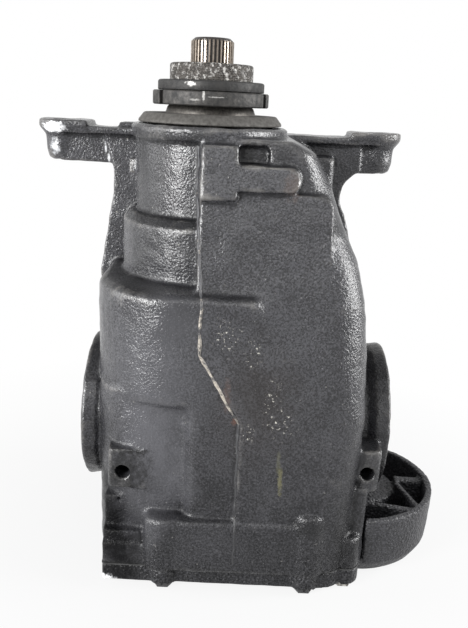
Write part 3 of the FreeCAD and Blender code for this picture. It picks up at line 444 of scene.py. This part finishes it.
def spot(tree, place, centre_mm, size_mm, ragged, edge=0.35):
    """One inside an ellipsoid with this centre and these half sizes, with a ragged border."""
    centre = tuple(c * MM for c in centre_mm)
    size = tuple(s * MM for s in size_mm)
    moved = add(tree, "ShaderNodeVectorMath", {0: place, 1: centre}, operation="SUBTRACT").outputs[0]
    scaled = add(tree, "ShaderNodeVectorMath", {0: moved, 1: size}, operation="DIVIDE").outputs[0]
    far = maths(tree, "ADD", length_of(tree, scaled), ramp(tree, ragged, 0.25, 0.75, -0.8, 0.8))
    return ramp(tree, far, 1.0 + edge, 1.0 - edge)


def stain(tree, place, colour, mark, ragged, edge=0.35):
    """Lay one mark over a colour. A mark is a centre and half sizes in millimetres, a colour code and
    how strongly it covers."""
    centre, size, code, strength = mark
    mask = times(tree, spot(tree, place, centre, size, ragged, edge), strength)
    return blend_colour(tree, mask, colour, rgba(code))


# Materials of the castings

# How far a place stands out from its surroundings where painted shade begins and is darkest, and where wear
# does
SHADED_HOLLOW_MM = (-0.18, -0.5)
RAISED_MM = (0.25, 0.7)
CHIP_EDGE = 0.04

# Broad patches on the housing: a greasy one on the flat front, two lighter ones that are painted light, and
# painted shade to the right of the pocket
PATCHES = (
    ((42, -96, 45), (24, 20, 38), "#1d1815", 0.4),
    # painted light on the lower left of the front
    ((-33, -92, -10), (21, 18, 38), "#58585c", 0.5),
    # painted light: the key lamp's highlight on the left of the third step
    ((-28, -80, 62), (30, 40, 44), "#545458", 0.35),
    # painted shade to the right of the pocket, below the shoulder
    ((54, -60, 206), (12, 16, 8), "#101011", 0.6),
)
# Single marks on the housing
MARKS = (
    # a pale dab on the left ear, a pale patch under it that is both wear and painted highlight, pale marks
    # along the edges of its web, and bare metal beside the slab's end
    ((-116, 8, 212), (9, 8, 3.4), "#e6e7e9", 0.95),
    ((-116, 10, 198), (3.5, 9, 5), "#b9bbbe", 0.7),
    ((-78, 13, 199), (0.9, 4, 3.5), "#c9cacc", 0.6),
    ((-75.5, 13, 192), (0.9, 4, 4), "#c9cacc", 0.6),
    ((63, -70, 188), (1.6, 6, 2.0), "#e3e3e2", 0.95),
    ((58, -70, 186), (5, 8, 9), "#5c4a40", 0.2),
    # yellowish and rusty drips on the flat front
    ((58, -96, 2), (1.3, 10, 9), "#605f45", 0.22),
    ((60, -96, -12), (1.6, 10, 9), "#7d7950", 0.3),
    ((27, -96, 30), (1.8, 10, 3), "#6f4a3a", 0.3),
    ((21, -96, 48), (2.5, 10, 12), "#5b4740", 0.25),
    # painted shade in the pocket and on the top of the left lug, the left lug and the place round the right
    # lug made darker, and painted shade over the right boss of the rear band and beside the ribbed arm
    ((32, -60, 203), (13, 9, 7), "#060606", 0.8),
    ((-42, -88, 1), (12, 6, 2.5), "#060606", 0.85),
    ((-46, -90, -14), (17, 9, 18), "#0c0c0d", 0.8),
    ((124, -78, -14), (14, 9, 16), "#0e0e0f", 0.35),
    ((84, -98, -46), (14, 10, 6), "#111112", 0.7),
    ((112, -84, -64), (13, 18, 28), "#0c0c0d", 0.6),
)
# Centres and half sizes of the places where the enamel is chipped in small flakes
CHIPPED_MM = (
    ((52, -96, 42), (5, 10, 14)),
    ((58, -96, 30), (8, 10, 8)),
    ((20, -90, 90), (7, 12, 9)),
    ((38, -90, 78), (5, 12, 8)),
    ((36, -96, 22), (4, 10, 5)),
)
# Centre and half sizes of the painted shade in the corner under the left lug
SHADED_CORNER_MM = ((-58, -86, -68), (21, 26, 42))
COVER_BARE_CORNER = ((-63, -86, -101), (8, 10, 4), "#d4d5d6", 1.0)


def speckles(tree, place, colour, size, share, code):
    """Add sparse light specks, where the enamel is chipped off the tips of the sand grain."""
    chips = ramp(tree, noise(tree, place, size, 3.0, 0.7), 1 - share, 1 - share + CHIP_EDGE)
    return blend_colour(tree, chips, colour, rgba(code))


def low_painted_shade(tree, place, cloud):
    """A share of painted shade: more towards the bottom, where less light falls, patchy, less on the ribbed
    arm, and darkest in the corner under the left lug."""
    border = ramp(tree, cloud, 0.3, 0.7, -25 * MM, 25 * MM)
    low = ramp_mm(tree, maths(tree, "ADD", axis_of(tree, place, "Z"), border), 60, -95, 0.0, 0.6)
    patchy = ramp(tree, noise(tree, place, 1.5, 2.0, 0.7), 0.38, 0.62, 1.5, 0.4)
    off_the_arm = ramp_mm(tree, axis_of(tree, place, "X"), 116, 124, 1.0, 0.35)
    corner = spot(tree, place, *SHADED_CORNER_MM, cloud, 0.5)
    return maths(tree, "MAXIMUM", times(tree, low, patchy, off_the_arm), corner)


def ledge_painted_shade(tree, place):
    """A share of painted shade on the faces that look up, on the ledges below the nose."""
    outward = add(tree, "ShaderNodeTexCoord").outputs["Normal"]
    upward = ramp(tree, axis_of(tree, outward, "Z"), 0.4, 0.85, 0.0, 0.65)
    return times(tree, upward, ramp_mm(tree, axis_of(tree, place, "Z"), 205, 195))


def worn_enamel(tree, place, cloud, rubbed, grain, painted_shade):
    """The enamel's colour, rubbed grey in patches, darkened with painted shade in hollows and wherever a
    share of painted shade is given, and bare on edges that stand out; and the share of painted shade on it."""
    s = settings()
    stand_out = add(tree, "ShaderNodeAttribute", attribute_name=WEAR_ATTRIBUTE).outputs["Fac"]
    ragged = maths(tree, "ADD", stand_out, ramp(tree, grain, 0.3, 0.75, -0.12, 0.12))
    # Painted shade in hollows: places that sink below their surroundings are darkened.
    painted_shade = maths(tree, "MAXIMUM", painted_shade, ramp(tree, ragged, *SHADED_HOLLOW_MM, 0.0, 0.6))
    pits = ramp(tree, noise(tree, place, 1.3, 3.0, 0.7), 0.35, 0.65, -0.65, 0.65)
    dusty = ramp(tree, maths(tree, "ADD", rubbed, pits), 0.2, 0.9)
    colour = blend_colour(tree, dusty, opaque(s.paint), opaque(s.dust))
    colour = blend_colour(tree, painted_shade, colour, opaque(s.shade_colour))
    worn = times(tree, ramp(tree, ragged, *RAISED_MM), ramp(tree, cloud, 0.46, 0.66, 0.04, 0.4),
                 ramp_mm(tree, axis_of(tree, place, "Z"), -25, -45, 1.0, 0.1))
    return blend_colour(tree, worn, colour, opaque(s.bare)), painted_shade


def marks_of_use(tree, place, colour, cloud):
    """Patches of grease, painted light and painted shade, pale dabs, drips, more painted shade and darker
    places round the lugs, and flakes off the enamel.
    """
    ragged = noise(tree, place, 4.0, 5.0, 0.75)
    for mark in PATCHES:
        colour = stain(tree, place, colour, mark, cloud, 0.6)
    for mark in MARKS:
        colour = stain(tree, place, colour, mark, ragged)
    flakes = times(tree, ramp(tree, noise(tree, place, 2.2, 3.0, 0.75), 0.6, 0.66), 0.85)
    for centre, size in CHIPPED_MM:
        mask = times(tree, spot(tree, place, centre, size, ragged, 0.6), flakes)
        colour = blend_colour(tree, mask, colour, rgba("#c4c1b8"))
    return colour


def enamel_on_casting():
    """Black chassis enamel brushed over a sand casting. The sand grain shows through as fine pimples that
    sparkle, flat faces are rubbed grey, hollows, ledges and the lower part carry painted shade, and raised
    edges are worn towards bare iron."""
    material, tree, out, place = start_material("black_enamel_on_sand_casting")
    across = axis_of(tree, place, "X")
    fine = noise(tree, place, 1.1, 2.0, 0.6)
    grain = maths(tree, "ADD", times(tree, pimples(tree, place, 1.8), 0.4), times(tree, fine, 0.75))
    cloud = noise(tree, place, 42.0, 4.0, 0.6)
    # The nose's left side is painted darker than the flat front: painted shade beside its highlight.
    nose = times(tree, ramp_mm(tree, axis_of(tree, place, "Z"), 80, 100), ramp_mm(tree, across, 4, -8),
                 ramp_mm(tree, across, -52, -46))
    rubbed = maths(tree, "SUBTRACT", cloud, times(tree, nose, 0.34))
    painted_shade = maths(tree, "MAXIMUM", low_painted_shade(tree, place, cloud), ledge_painted_shade(tree, place))
    colour, painted_shade = worn_enamel(tree, place, cloud, rubbed, grain, painted_shade)
    colour = speckles(tree, place, colour, 3.0, 0.3, "#6f6d69")
    colour = speckles(tree, place, colour, 1.3, 0.28, "#a9a69f")
    colour = marks_of_use(tree, place, colour, cloud)
    # The grain is lower on the flat front and the left web, and higher towards the right and where the
    # painted shade is.
    crinkle = times(tree, grain, ramp_mm(tree, across, -8, 4, 1.0, 0.85),
                    ramp_mm(tree, across, -75, -60, 0.85, 1.0), ramp_mm(tree, across, 60, 90, 1.0, 1.5),
                    ramp(tree, painted_shade, 0.5, 1.0, 1.0, 1.8))
    uneven = maths(tree, "ADD", cloud, ramp(tree, fine, 0.3, 0.7, -0.15, 0.15))
    # Where the painted shade is, the enamel is rougher and reflects less.
    rough = maths(tree, "ADD", ramp(tree, uneven, 0.3, 0.75, 0.16, 0.28), times(tree, painted_shade, 0.15))
    close_material(tree, out, Base_Color=colour, Roughness=rough, Normal=bumps(tree, crinkle, 1.0, 0.42),
                   Specular_IOR_Level=ramp(tree, painted_shade, 0.0, 1.0, 0.5, 0.08))
    return material


def enamel_on_cover():
    """The same enamel on the die-cast cover: a rounder and coarser grain, duller, with broad rubbed
    patches, and painted shade towards the bottom."""
    material, tree, out, place = start_material("black_enamel_on_cast_cover")
    grain = pimples(tree, place, 2.2)
    cloud = noise(tree, place, 30.0, 4.0, 0.6)
    colour, painted_shade = worn_enamel(tree, place, cloud, cloud, grain, low_painted_shade(tree, place, cloud))
    colour = speckles(tree, place, colour, 2.6, 0.27, "#5f5c58")
    colour = stain(tree, place, colour, COVER_BARE_CORNER, noise(tree, place, 4.0, 5.0, 0.75))
    rough = ramp(tree, cloud, 0.3, 0.7, 0.36, 0.52)
    close_material(tree, out, Base_Color=colour, Roughness=rough, Normal=bumps(tree, grain, 1.0, 0.8),
                   Specular_IOR_Level=ramp(tree, painted_shade, 0.0, 1.0, 0.4, 0.12))
    return material


def flash_finish():
    """The flash: enamel in most places, rubbed to pale metal along the sloping part, with painted shade
    towards the bottom.
    """
    material, tree, out, place = start_material("rubbed_parting_flash")
    s = settings()
    ragged = noise(tree, place, 5.0, 5.0, 0.75)
    fine = noise(tree, place, 1.2, 3.0, 0.6)
    height = axis_of(tree, place, "Z")
    slope = times(tree, ramp_mm(tree, height, 116, 104), ramp_mm(tree, height, 22, 30))
    rubbed = ramp(tree, maths(tree, "ADD", ragged, times(tree, slope, 0.18)), 0.6, 0.72)
    pale = blend_colour(tree, fine, rgba("#4a4039"), rgba("#b9b3a8"))
    enamel = blend_colour(tree, fine, opaque(s.paint), opaque(s.dust))
    # painted shade: the enamel is darker towards the bottom
    enamel = blend_colour(tree, ramp_mm(tree, height, 60, -40, 0.0, 0.6), enamel, opaque(s.shade_colour))
    colour = blend_colour(tree, rubbed, enamel, pale)
    close_material(tree, out, Base_Color=colour, Roughness=0.5, Normal=bumps(tree, fine, 0.6, 0.4))
    return material


# Materials of steel, rubber and plastic

# Radii of the splined end: clean from the first one out, and full of grime from the second one in
SPLINE_TOOTH_MM = 14.6
SPLINE_GAP_MM = 13.9
# The heights between which the collar's plain neck turns into its thread
COLLAR_THREAD_MM = (233, 234)
THREAD_PITCH = 1.5 * MM
# A wave texture with scale 1 has this many bands in a length of 1.
BANDS_PER_UNIT = 3.2

# Dabs of paste on the nut and the ring: centre and half sizes in millimetres, and strength
NUT_DABS = (
    ((-3, -40, 239), (0.8, 5, 3.0), 0.4),
    ((-9, -40, 236), (3.0, 5, 0.6), 0.2),
    ((5, -40, 238), (5, 5, 0.4), 0.25),
)
RING_DABS = (((-12, -35, 246), (2.7, 5, 1.3), 0.7),)


def spline_steel():
    """Ground steel of the splined end, with grime in the gaps between the teeth."""
    material, tree, out, place = start_material("ground_spline_steel")
    film = noise(tree, place, 3.0, 5.0, 0.65)
    flat = add(tree, "ShaderNodeVectorMath", {0: place, 1: (1.0, 1.0, 0.0)}, operation="MULTIPLY").outputs[0]
    gap = ramp_mm(tree, length_of(tree, flat), SPLINE_TOOTH_MM, SPLINE_GAP_MM)
    colour = blend_colour(tree, ramp(tree, film, 0.4, 0.68), rgba("#938a80"), rgba("#655c53"))
    colour = blend_colour(tree, gap, colour, rgba("#1d1815"))
    metallic = maths(tree, "SUBTRACT", 0.95, times(tree, gap, 0.8))
    rough = ramp(tree, film, 0.3, 0.7, 0.22, 0.4)
    close_material(tree, out, Base_Color=colour, Metallic=metallic, Roughness=rough,
                   Normal=bumps(tree, film, 0.5, 0.15))
    return material


def steel(name, code, dark_code, roughness, grain_mm=2.5, bump_mm=0.1, metallic=0.9):
    """Bare steel with a dull film: dark patches where oil has dried on it."""
    material, tree, out, place = start_material(name)
    film = noise(tree, place, grain_mm, 5.0, 0.65)
    colour = blend_colour(tree, ramp(tree, film, 0.4, 0.68), rgba(code), rgba(dark_code))
    normal = bumps(tree, noise(tree, place, 0.6, 2.0), 0.3, bump_mm)
    rough = ramp(tree, film, 0.3, 0.7, roughness, roughness + 0.22)
    close_material(tree, out, Base_Color=colour, Metallic=metallic, Roughness=rough, Normal=normal)
    return material


def thread_lock_collar():
    """Threaded steel with dried grey-white thread-lock paste in clumps; below the nut it is a plain
    dark neck."""
    material, tree, out, place = start_material("steel_with_thread_lock_paste")
    clump = noise(tree, place, 3.6, 5.0, 0.7)
    film = noise(tree, place, 1.5, 4.0, 0.6)
    above = ramp_mm(tree, axis_of(tree, place, "Z"), *COLLAR_THREAD_MM)
    paste = times(tree, ramp(tree, clump, 0.52, 0.6), above)
    metal = blend_colour(tree, ramp(tree, film, 0.35, 0.65), rgba("#2e2c2a"), rgba("#504d49"))
    white = blend_colour(tree, ramp(tree, film, 0.4, 0.65), rgba("#5f5d5b"), rgba("#b3b1ad"))
    colour = blend_colour(tree, paste, metal, white)
    turns = add(tree, "ShaderNodeTexWave",
                {"Vector": place, "Scale": 1 / THREAD_PITCH / BANDS_PER_UNIT, "Distortion": 1.2},
                wave_type="BANDS", bands_direction="Z", wave_profile="SIN").outputs["Fac"]
    normal = bumps(tree, times(tree, turns, above), 0.5, 0.6)
    normal = bumps(tree, times(tree, clump, above), 1.0, 1.4, normal)
    metallic = maths(tree, "SUBTRACT", 0.8, times(tree, paste, 0.8))
    close_material(tree, out, Base_Color=colour, Metallic=metallic, Roughness=0.5, Normal=normal)
    return material


def nut_steel(name, code, dabs):
    """Forged steel, dark with oil, with whitish paste smeared on it at a few places."""
    material, tree, out, place = start_material(name)
    film = noise(tree, place, 5.0, 5.0, 0.65)
    colour = blend_colour(tree, ramp(tree, film, 0.36, 0.62), rgba(code), rgba("#1f1f1f"))
    smear = noise(tree, place, 2.4, 5.0, 0.75)
    paste = ramp(tree, smear, 0.68, 0.74, 0.0, 0.7)
    for centre, size, strength in dabs:
        dab = times(tree, spot(tree, place, centre, size, smear), strength)
        paste = maths(tree, "MAXIMUM", paste, dab)
    colour = blend_colour(tree, paste, colour, rgba("#d8d6d2"))
    metallic = maths(tree, "SUBTRACT", 0.5, times(tree, paste, 0.5))
    rough = ramp(tree, film, 0.3, 0.7, 0.5, 0.7)
    normal = bumps(tree, noise(tree, place, 2.0, 4.0), 0.7, 0.5)
    close_material(tree, out, Base_Color=colour, Metallic=metallic, Roughness=rough, Normal=normal)
    return material


def bolt_finish():
    """Zinc bolts painted over with the enamel; the one beside the cover arm is bare."""
    material, tree, out, place = start_material("painted_over_zinc_bolts")
    film = noise(tree, place, 3.0, 4.0, 0.65)
    bare = ramp_mm(tree, axis_of(tree, place, "X"), 101, 102)
    painted = blend_colour(tree, film, rgba("#1b1b1c"), rgba("#3a3a3b"))
    zinc = blend_colour(tree, ramp(tree, film, 0.42, 0.6), rgba("#b9b7b1"), rgba("#4a4742"))
    colour = blend_colour(tree, bare, painted, zinc)
    close_material(tree, out, Base_Color=colour, Metallic=times(tree, bare, 0.8), Roughness=0.42,
                   Normal=bumps(tree, film, 0.4, 0.3))
    return material


def rubber(name, code):
    """Moulded rubber, fibre or nylon: a dull skin with a faint bloom."""
    material, tree, out, place = start_material(name)
    bloom = noise(tree, place, 8.0, 4.0, 0.6)
    colour = blend_colour(tree, ramp(tree, bloom, 0.35, 0.7), rgba(code), rgba("#3a3a3a"))
    normal = bumps(tree, noise(tree, place, 0.5, 2.0), 0.2, 0.05)
    close_material(tree, out, Base_Color=colour, Roughness=0.75, Normal=normal)
    return material


# Pieces

def dress(node, material):
    """Give a carried-over CAD node its finish."""
    obj = NODES[node]
    obj.data.materials.clear()
    obj.data.materials.append(material)


def bevel_edges(node, width_mm):
    """Weld a CAD node and bevel its sharp edges so that they catch the light."""
    obj = NODES[node]
    weld = obj.modifiers.new("weld", "WELD")
    weld.merge_threshold = WELD_GAP
    bevel = obj.modifiers.new("bevel", "BEVEL")
    bevel.width = width_mm * MM
    bevel.segments = 2
    bevel.limit_method = "ANGLE"
    bevel.angle_limit = SHARP_ANGLE
    bevel.harden_normals = True


class DIFF_OT_housing(bpy.types.Operator):
    """Cast skins of the housing and its rear cover"""
    bl_idname = "differential.housing"
    bl_label = "Housing and cover skins"

    def execute(self, context):
        s = settings()
        housing = cast_skin("housing_casting", "housing", s.voxel, HOUSING_STEPS, s.lump, s.skin_triangles,
                            softness)
        housing.data.materials.append(enamel_on_casting())
        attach(housing, "housing")
        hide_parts("housing")
        # The cover is smaller and more even, so it has half the waviness and half the triangles.
        cover = cast_skin("rear_cover_casting", "rear_cover", s.voxel, COVER_STEPS, s.lump / 2,
                          s.skin_triangles // 2)
        cover.data.materials.append(enamel_on_cover())
        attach(cover, "housing")
        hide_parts("rear_cover")
        return {"FINISHED"}


class DIFF_OT_parting_flash(bpy.types.Operator):
    """The thin flash of metal left along the parting line of the housing"""
    bl_idname = "differential.parting_flash"
    bl_label = "Parting flash"

    def execute(self, context):
        flash = parting_flash(bpy.data.objects["housing_casting"])
        flash.data.materials.append(flash_finish())
        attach(flash, "housing")
        return {"FINISHED"}


class DIFF_OT_input_stack(bpy.types.Operator):
    """Finishes of the input: splined shaft, sleeve, nut, ring and dust shield"""
    bl_idname = "differential.input_stack"
    bl_label = "Input stack"

    def execute(self, context):
        dress("drive_pinion", spline_steel())
        dress("input_sleeve", thread_lock_collar())
        dress("lock_nut", nut_steel("oiled_forged_steel", "#3a3836", NUT_DABS))
        dress("lock_ring", nut_steel("oiled_pressed_steel", "#2c2b2a", RING_DABS))
        dress("dust_shield", steel("dull_zinc_sheet", "#4b4946", "#353330", 0.6, bump_mm=0.3, metallic=0.4))
        for node in ("lock_nut", "lock_ring", "dust_shield", "input_sleeve"):
            bevel_edges(node, 0.5)
        return {"FINISHED"}


class DIFF_OT_fasteners(bpy.types.Operator):
    """Finishes of the cover bolts, plug, breather, gasket, seals and rear bush"""
    bl_idname = "differential.fasteners"
    bl_label = "Fasteners and seals"

    def execute(self, context):
        dress("cover_bolts", bolt_finish())
        bevel_edges("cover_bolts", 0.4)
        dress("fill_plug", steel("black_passivated_plug", "#3c3c3d", "#222223", 0.42, grain_mm=5.0))
        bevel_edges("fill_plug", 0.5)
        dress("fill_plug_washer", steel("soft_copper", "#a9714e", "#6b4a38", 0.4))
        dress("breather", rubber("black_nylon", "#1c1c1c"))
        dress("cover_gasket", rubber("fibre_gasket", "#202020"))
        lip = rubber("nitrile_seal", "#19191a")
        for node in ("pinion_seal", "output_seal_left", "output_seal_right", "rear_bush_rubber"):
            dress(node, lip)
        dress("rear_bush_sleeve", steel("plain_bush_steel", "#77736d", "#4b4844", 0.4))
        return {"FINISHED"}


class DIFF_OT_inner_parts(bpy.types.Operator):
    """Finishes of the gears, bearings, shims and the differential case"""
    bl_idname = "differential.inner_parts"
    bl_label = "Gears and bearings"

    def execute(self, context):
        finishes = {
            "gear_steel": steel("phosphated_gear_steel", "#6a6761", "#43413d", 0.38, grain_mm=6.0),
            "case_iron": steel("machined_case_iron", "#5c5955", "#3c3a37", 0.5, grain_mm=7.0),
            "bolt_dark": steel("black_oxide_steel", "#2c2c2e", "#1d1d1e", 0.4, grain_mm=5.0),
            "bearing_steel": steel("lapped_bearing_steel", "#c4c5c7", "#a3a4a6", 0.12, grain_mm=12.0,
                                   bump_mm=0.02, metallic=1.0),
            "bright_steel": steel("ground_shim_steel", "#a6a6a4", "#828280", 0.25, grain_mm=9.0,
                                  bump_mm=0.04, metallic=1.0),
        }
        for part in frame["record"]["subparts"]:
            if part["material_slot"] in finishes:
                dress(part["node"], finishes[part["material_slot"]])
        return {"FINISHED"}


# Stage

FOCAL_PX = 700.0
PICTURE_LONG_SIDE = 628.0
SENSOR_MM = 36.0
CAMERA_PLACE = (23.3 * MM, -520 * MM, 237 * MM)
CAMERA_PITCH = math.radians(17.0)
CAMERA_ROLL = math.radians(2.6)
CLIP_START = 0.01

FLOOR_HALF_SIZE = 6.0
# From the middle of the floor: where its shadow shows most and where it ends, and how white it is there
SHADOW_REACH = (0.12, 0.42)
FLOOR_WHITENESS = (0.86, 1.0)

LIT_MIDDLE = (0.0, 0.0, 0.08)
# Name, place, width and height in metres, and watts
SOFTBOXES = (
    ("key_softbox", (-0.97, -0.98, 0.42), 0.44, 0.9, 42.0),
    ("left_softbox", (-1.5, -0.1, 0.50), 0.5, 1.2, 11.0),
    ("right_softbox", (1.45, -0.15, 0.55), 0.5, 1.1, 40.0),
    ("front_fill", (0.1, -1.5, 1.35), 1.4, 0.9, 8.0),
)


def studio_camera():
    """A camera in front of the differential, level with the lock nut and tipped down; the picture is
    rolled a little, so that level lines fall to the right."""
    data = bpy.data.cameras.new("camera")
    data.sensor_width = SENSOR_MM
    data.lens = FOCAL_PX / PICTURE_LONG_SIDE * SENSOR_MM
    data.clip_start = CLIP_START
    forward = Vector((0, math.cos(CAMERA_PITCH), -math.sin(CAMERA_PITCH)))
    level = Vector((1, 0, 0))
    upright = Vector((0, math.sin(CAMERA_PITCH), math.cos(CAMERA_PITCH)))
    right = math.cos(CAMERA_ROLL) * level + math.sin(CAMERA_ROLL) * upright
    up = math.cos(CAMERA_ROLL) * upright - math.sin(CAMERA_ROLL) * level
    turn = Matrix((right, up, -forward)).transposed().to_4x4()
    camera = new_object("camera", data)
    camera.matrix_world = Matrix.Translation(CAMERA_PLACE) @ turn
    bpy.context.scene.camera = camera


def softbox(name, place, width, height, watts):
    """A rectangular lamp that faces the middle of the differential."""
    data = bpy.data.lights.new(name, "AREA")
    data.shape = "RECTANGLE"
    data.size = width
    data.size_y = height
    data.energy = watts
    lamp = new_object(name, data)
    lamp.location = place
    lamp.rotation_euler = (Vector(LIT_MIDDLE) - Vector(place)).to_track_quat("-Z", "Y").to_euler()


def shown_white(tree):
    """One for the rays that see the background as plain white: those from the camera, through glass and
    off a glossy surface."""
    path = add(tree, "ShaderNodeLightPath")
    seen = maths(tree, "MAXIMUM", path.outputs["Is Camera Ray"], path.outputs["Is Transmission Ray"])
    return maths(tree, "MAXIMUM", seen, path.outputs["Is Glossy Ray"])


def white_floor():
    """A white sheet of paper: seen as white, with only a trace of the shadow on it."""
    size = FLOOR_HALF_SIZE
    z = CAD_BOX[0][2]
    mesh = bpy.data.meshes.new("floor")
    mesh.from_pydata([(-size, -size, z), (size, -size, z), (size, size, z), (-size, size, z)], [],
                     [(0, 1, 2, 3)])
    floor = new_object("floor", mesh)
    material, tree, out, place = start_material("white_paper")
    paper = add(tree, "ShaderNodeBsdfDiffuse", {"Color": rgba("#a8a8a8")}).outputs[0]
    light = add(tree, "ShaderNodeEmission", {"Color": (1, 1, 1, 1), "Strength": 1.0}).outputs[0]
    whiteness = ramp(tree, length_of(tree, place), *SHADOW_REACH, *FLOOR_WHITENESS)
    share = times(tree, shown_white(tree), whiteness)
    mix = add(tree, "ShaderNodeMixShader", {0: share, 1: paper, 2: light})
    tree.links.new(mix.outputs[0], out.inputs["Surface"])
    mesh.materials.append(material)


def studio_world():
    """A pale room that lights the part softly and is seen as plain white."""
    world = bpy.data.worlds.new("studio")
    bpy.context.scene.world = world
    world.use_nodes = True
    tree = world.node_tree
    tree.nodes.clear()
    room = add(tree, "ShaderNodeBackground", {"Color": rgba("#d6d8dc"), "Strength": 0.3}).outputs[0]
    white = add(tree, "ShaderNodeBackground", {"Color": (1, 1, 1, 1), "Strength": 1.0}).outputs[0]
    mix = add(tree, "ShaderNodeMixShader", {0: shown_white(tree), 1: room, 2: white})
    add(tree, "ShaderNodeOutputWorld", {"Surface": mix.outputs[0]})


class DIFF_OT_stage(bpy.types.Operator):
    """White floor, pale room, soft lamps and the camera"""
    bl_idname = "differential.stage"
    bl_label = "Studio stage"

    def execute(self, context):
        white_floor()
        studio_world()
        studio_camera()
        for lamp in SOFTBOXES:
            softbox(*lamp)
        context.scene.view_settings.view_transform = "Standard"
        return {"FINISHED"}


OPERATORS = (DIFF_OT_housing, DIFF_OT_parting_flash, DIFF_OT_input_stack, DIFF_OT_fasteners,
             DIFF_OT_inner_parts, DIFF_OT_stage)


class DIFF_PT_panel(bpy.types.Panel):
    """The settings and the steps in the sidebar"""
    bl_idname = "DIFF_PT_panel"
    bl_label = "Rear differential"
    bl_space_type = "VIEW_3D"
    bl_region_type = "UI"
    bl_category = "Differential"

    def draw(self, context):
        column = self.layout.column()
        for name in DIFF_PG_settings.__annotations__:
            column.prop(context.scene.differential, name)
        for operator in OPERATORS:
            column.operator(operator.bl_idname)


CLASSES = (DIFF_PG_settings, *OPERATORS, DIFF_PT_panel)


def register():
    for item in CLASSES:
        bpy.utils.register_class(item)
    bpy.types.Scene.differential = PointerProperty(type=DIFF_PG_settings)


def unregister():
    del bpy.types.Scene.differential
    for item in reversed(CLASSES):
        bpy.utils.unregister_class(item)


def main():
    register()
    bpy.ops.differential.housing()
    bpy.ops.differential.parting_flash()
    bpy.ops.differential.input_stack()
    bpy.ops.differential.fasteners()
    bpy.ops.differential.inner_parts()
    bpy.ops.differential.stage()


if __name__ == "__main__":
    main()
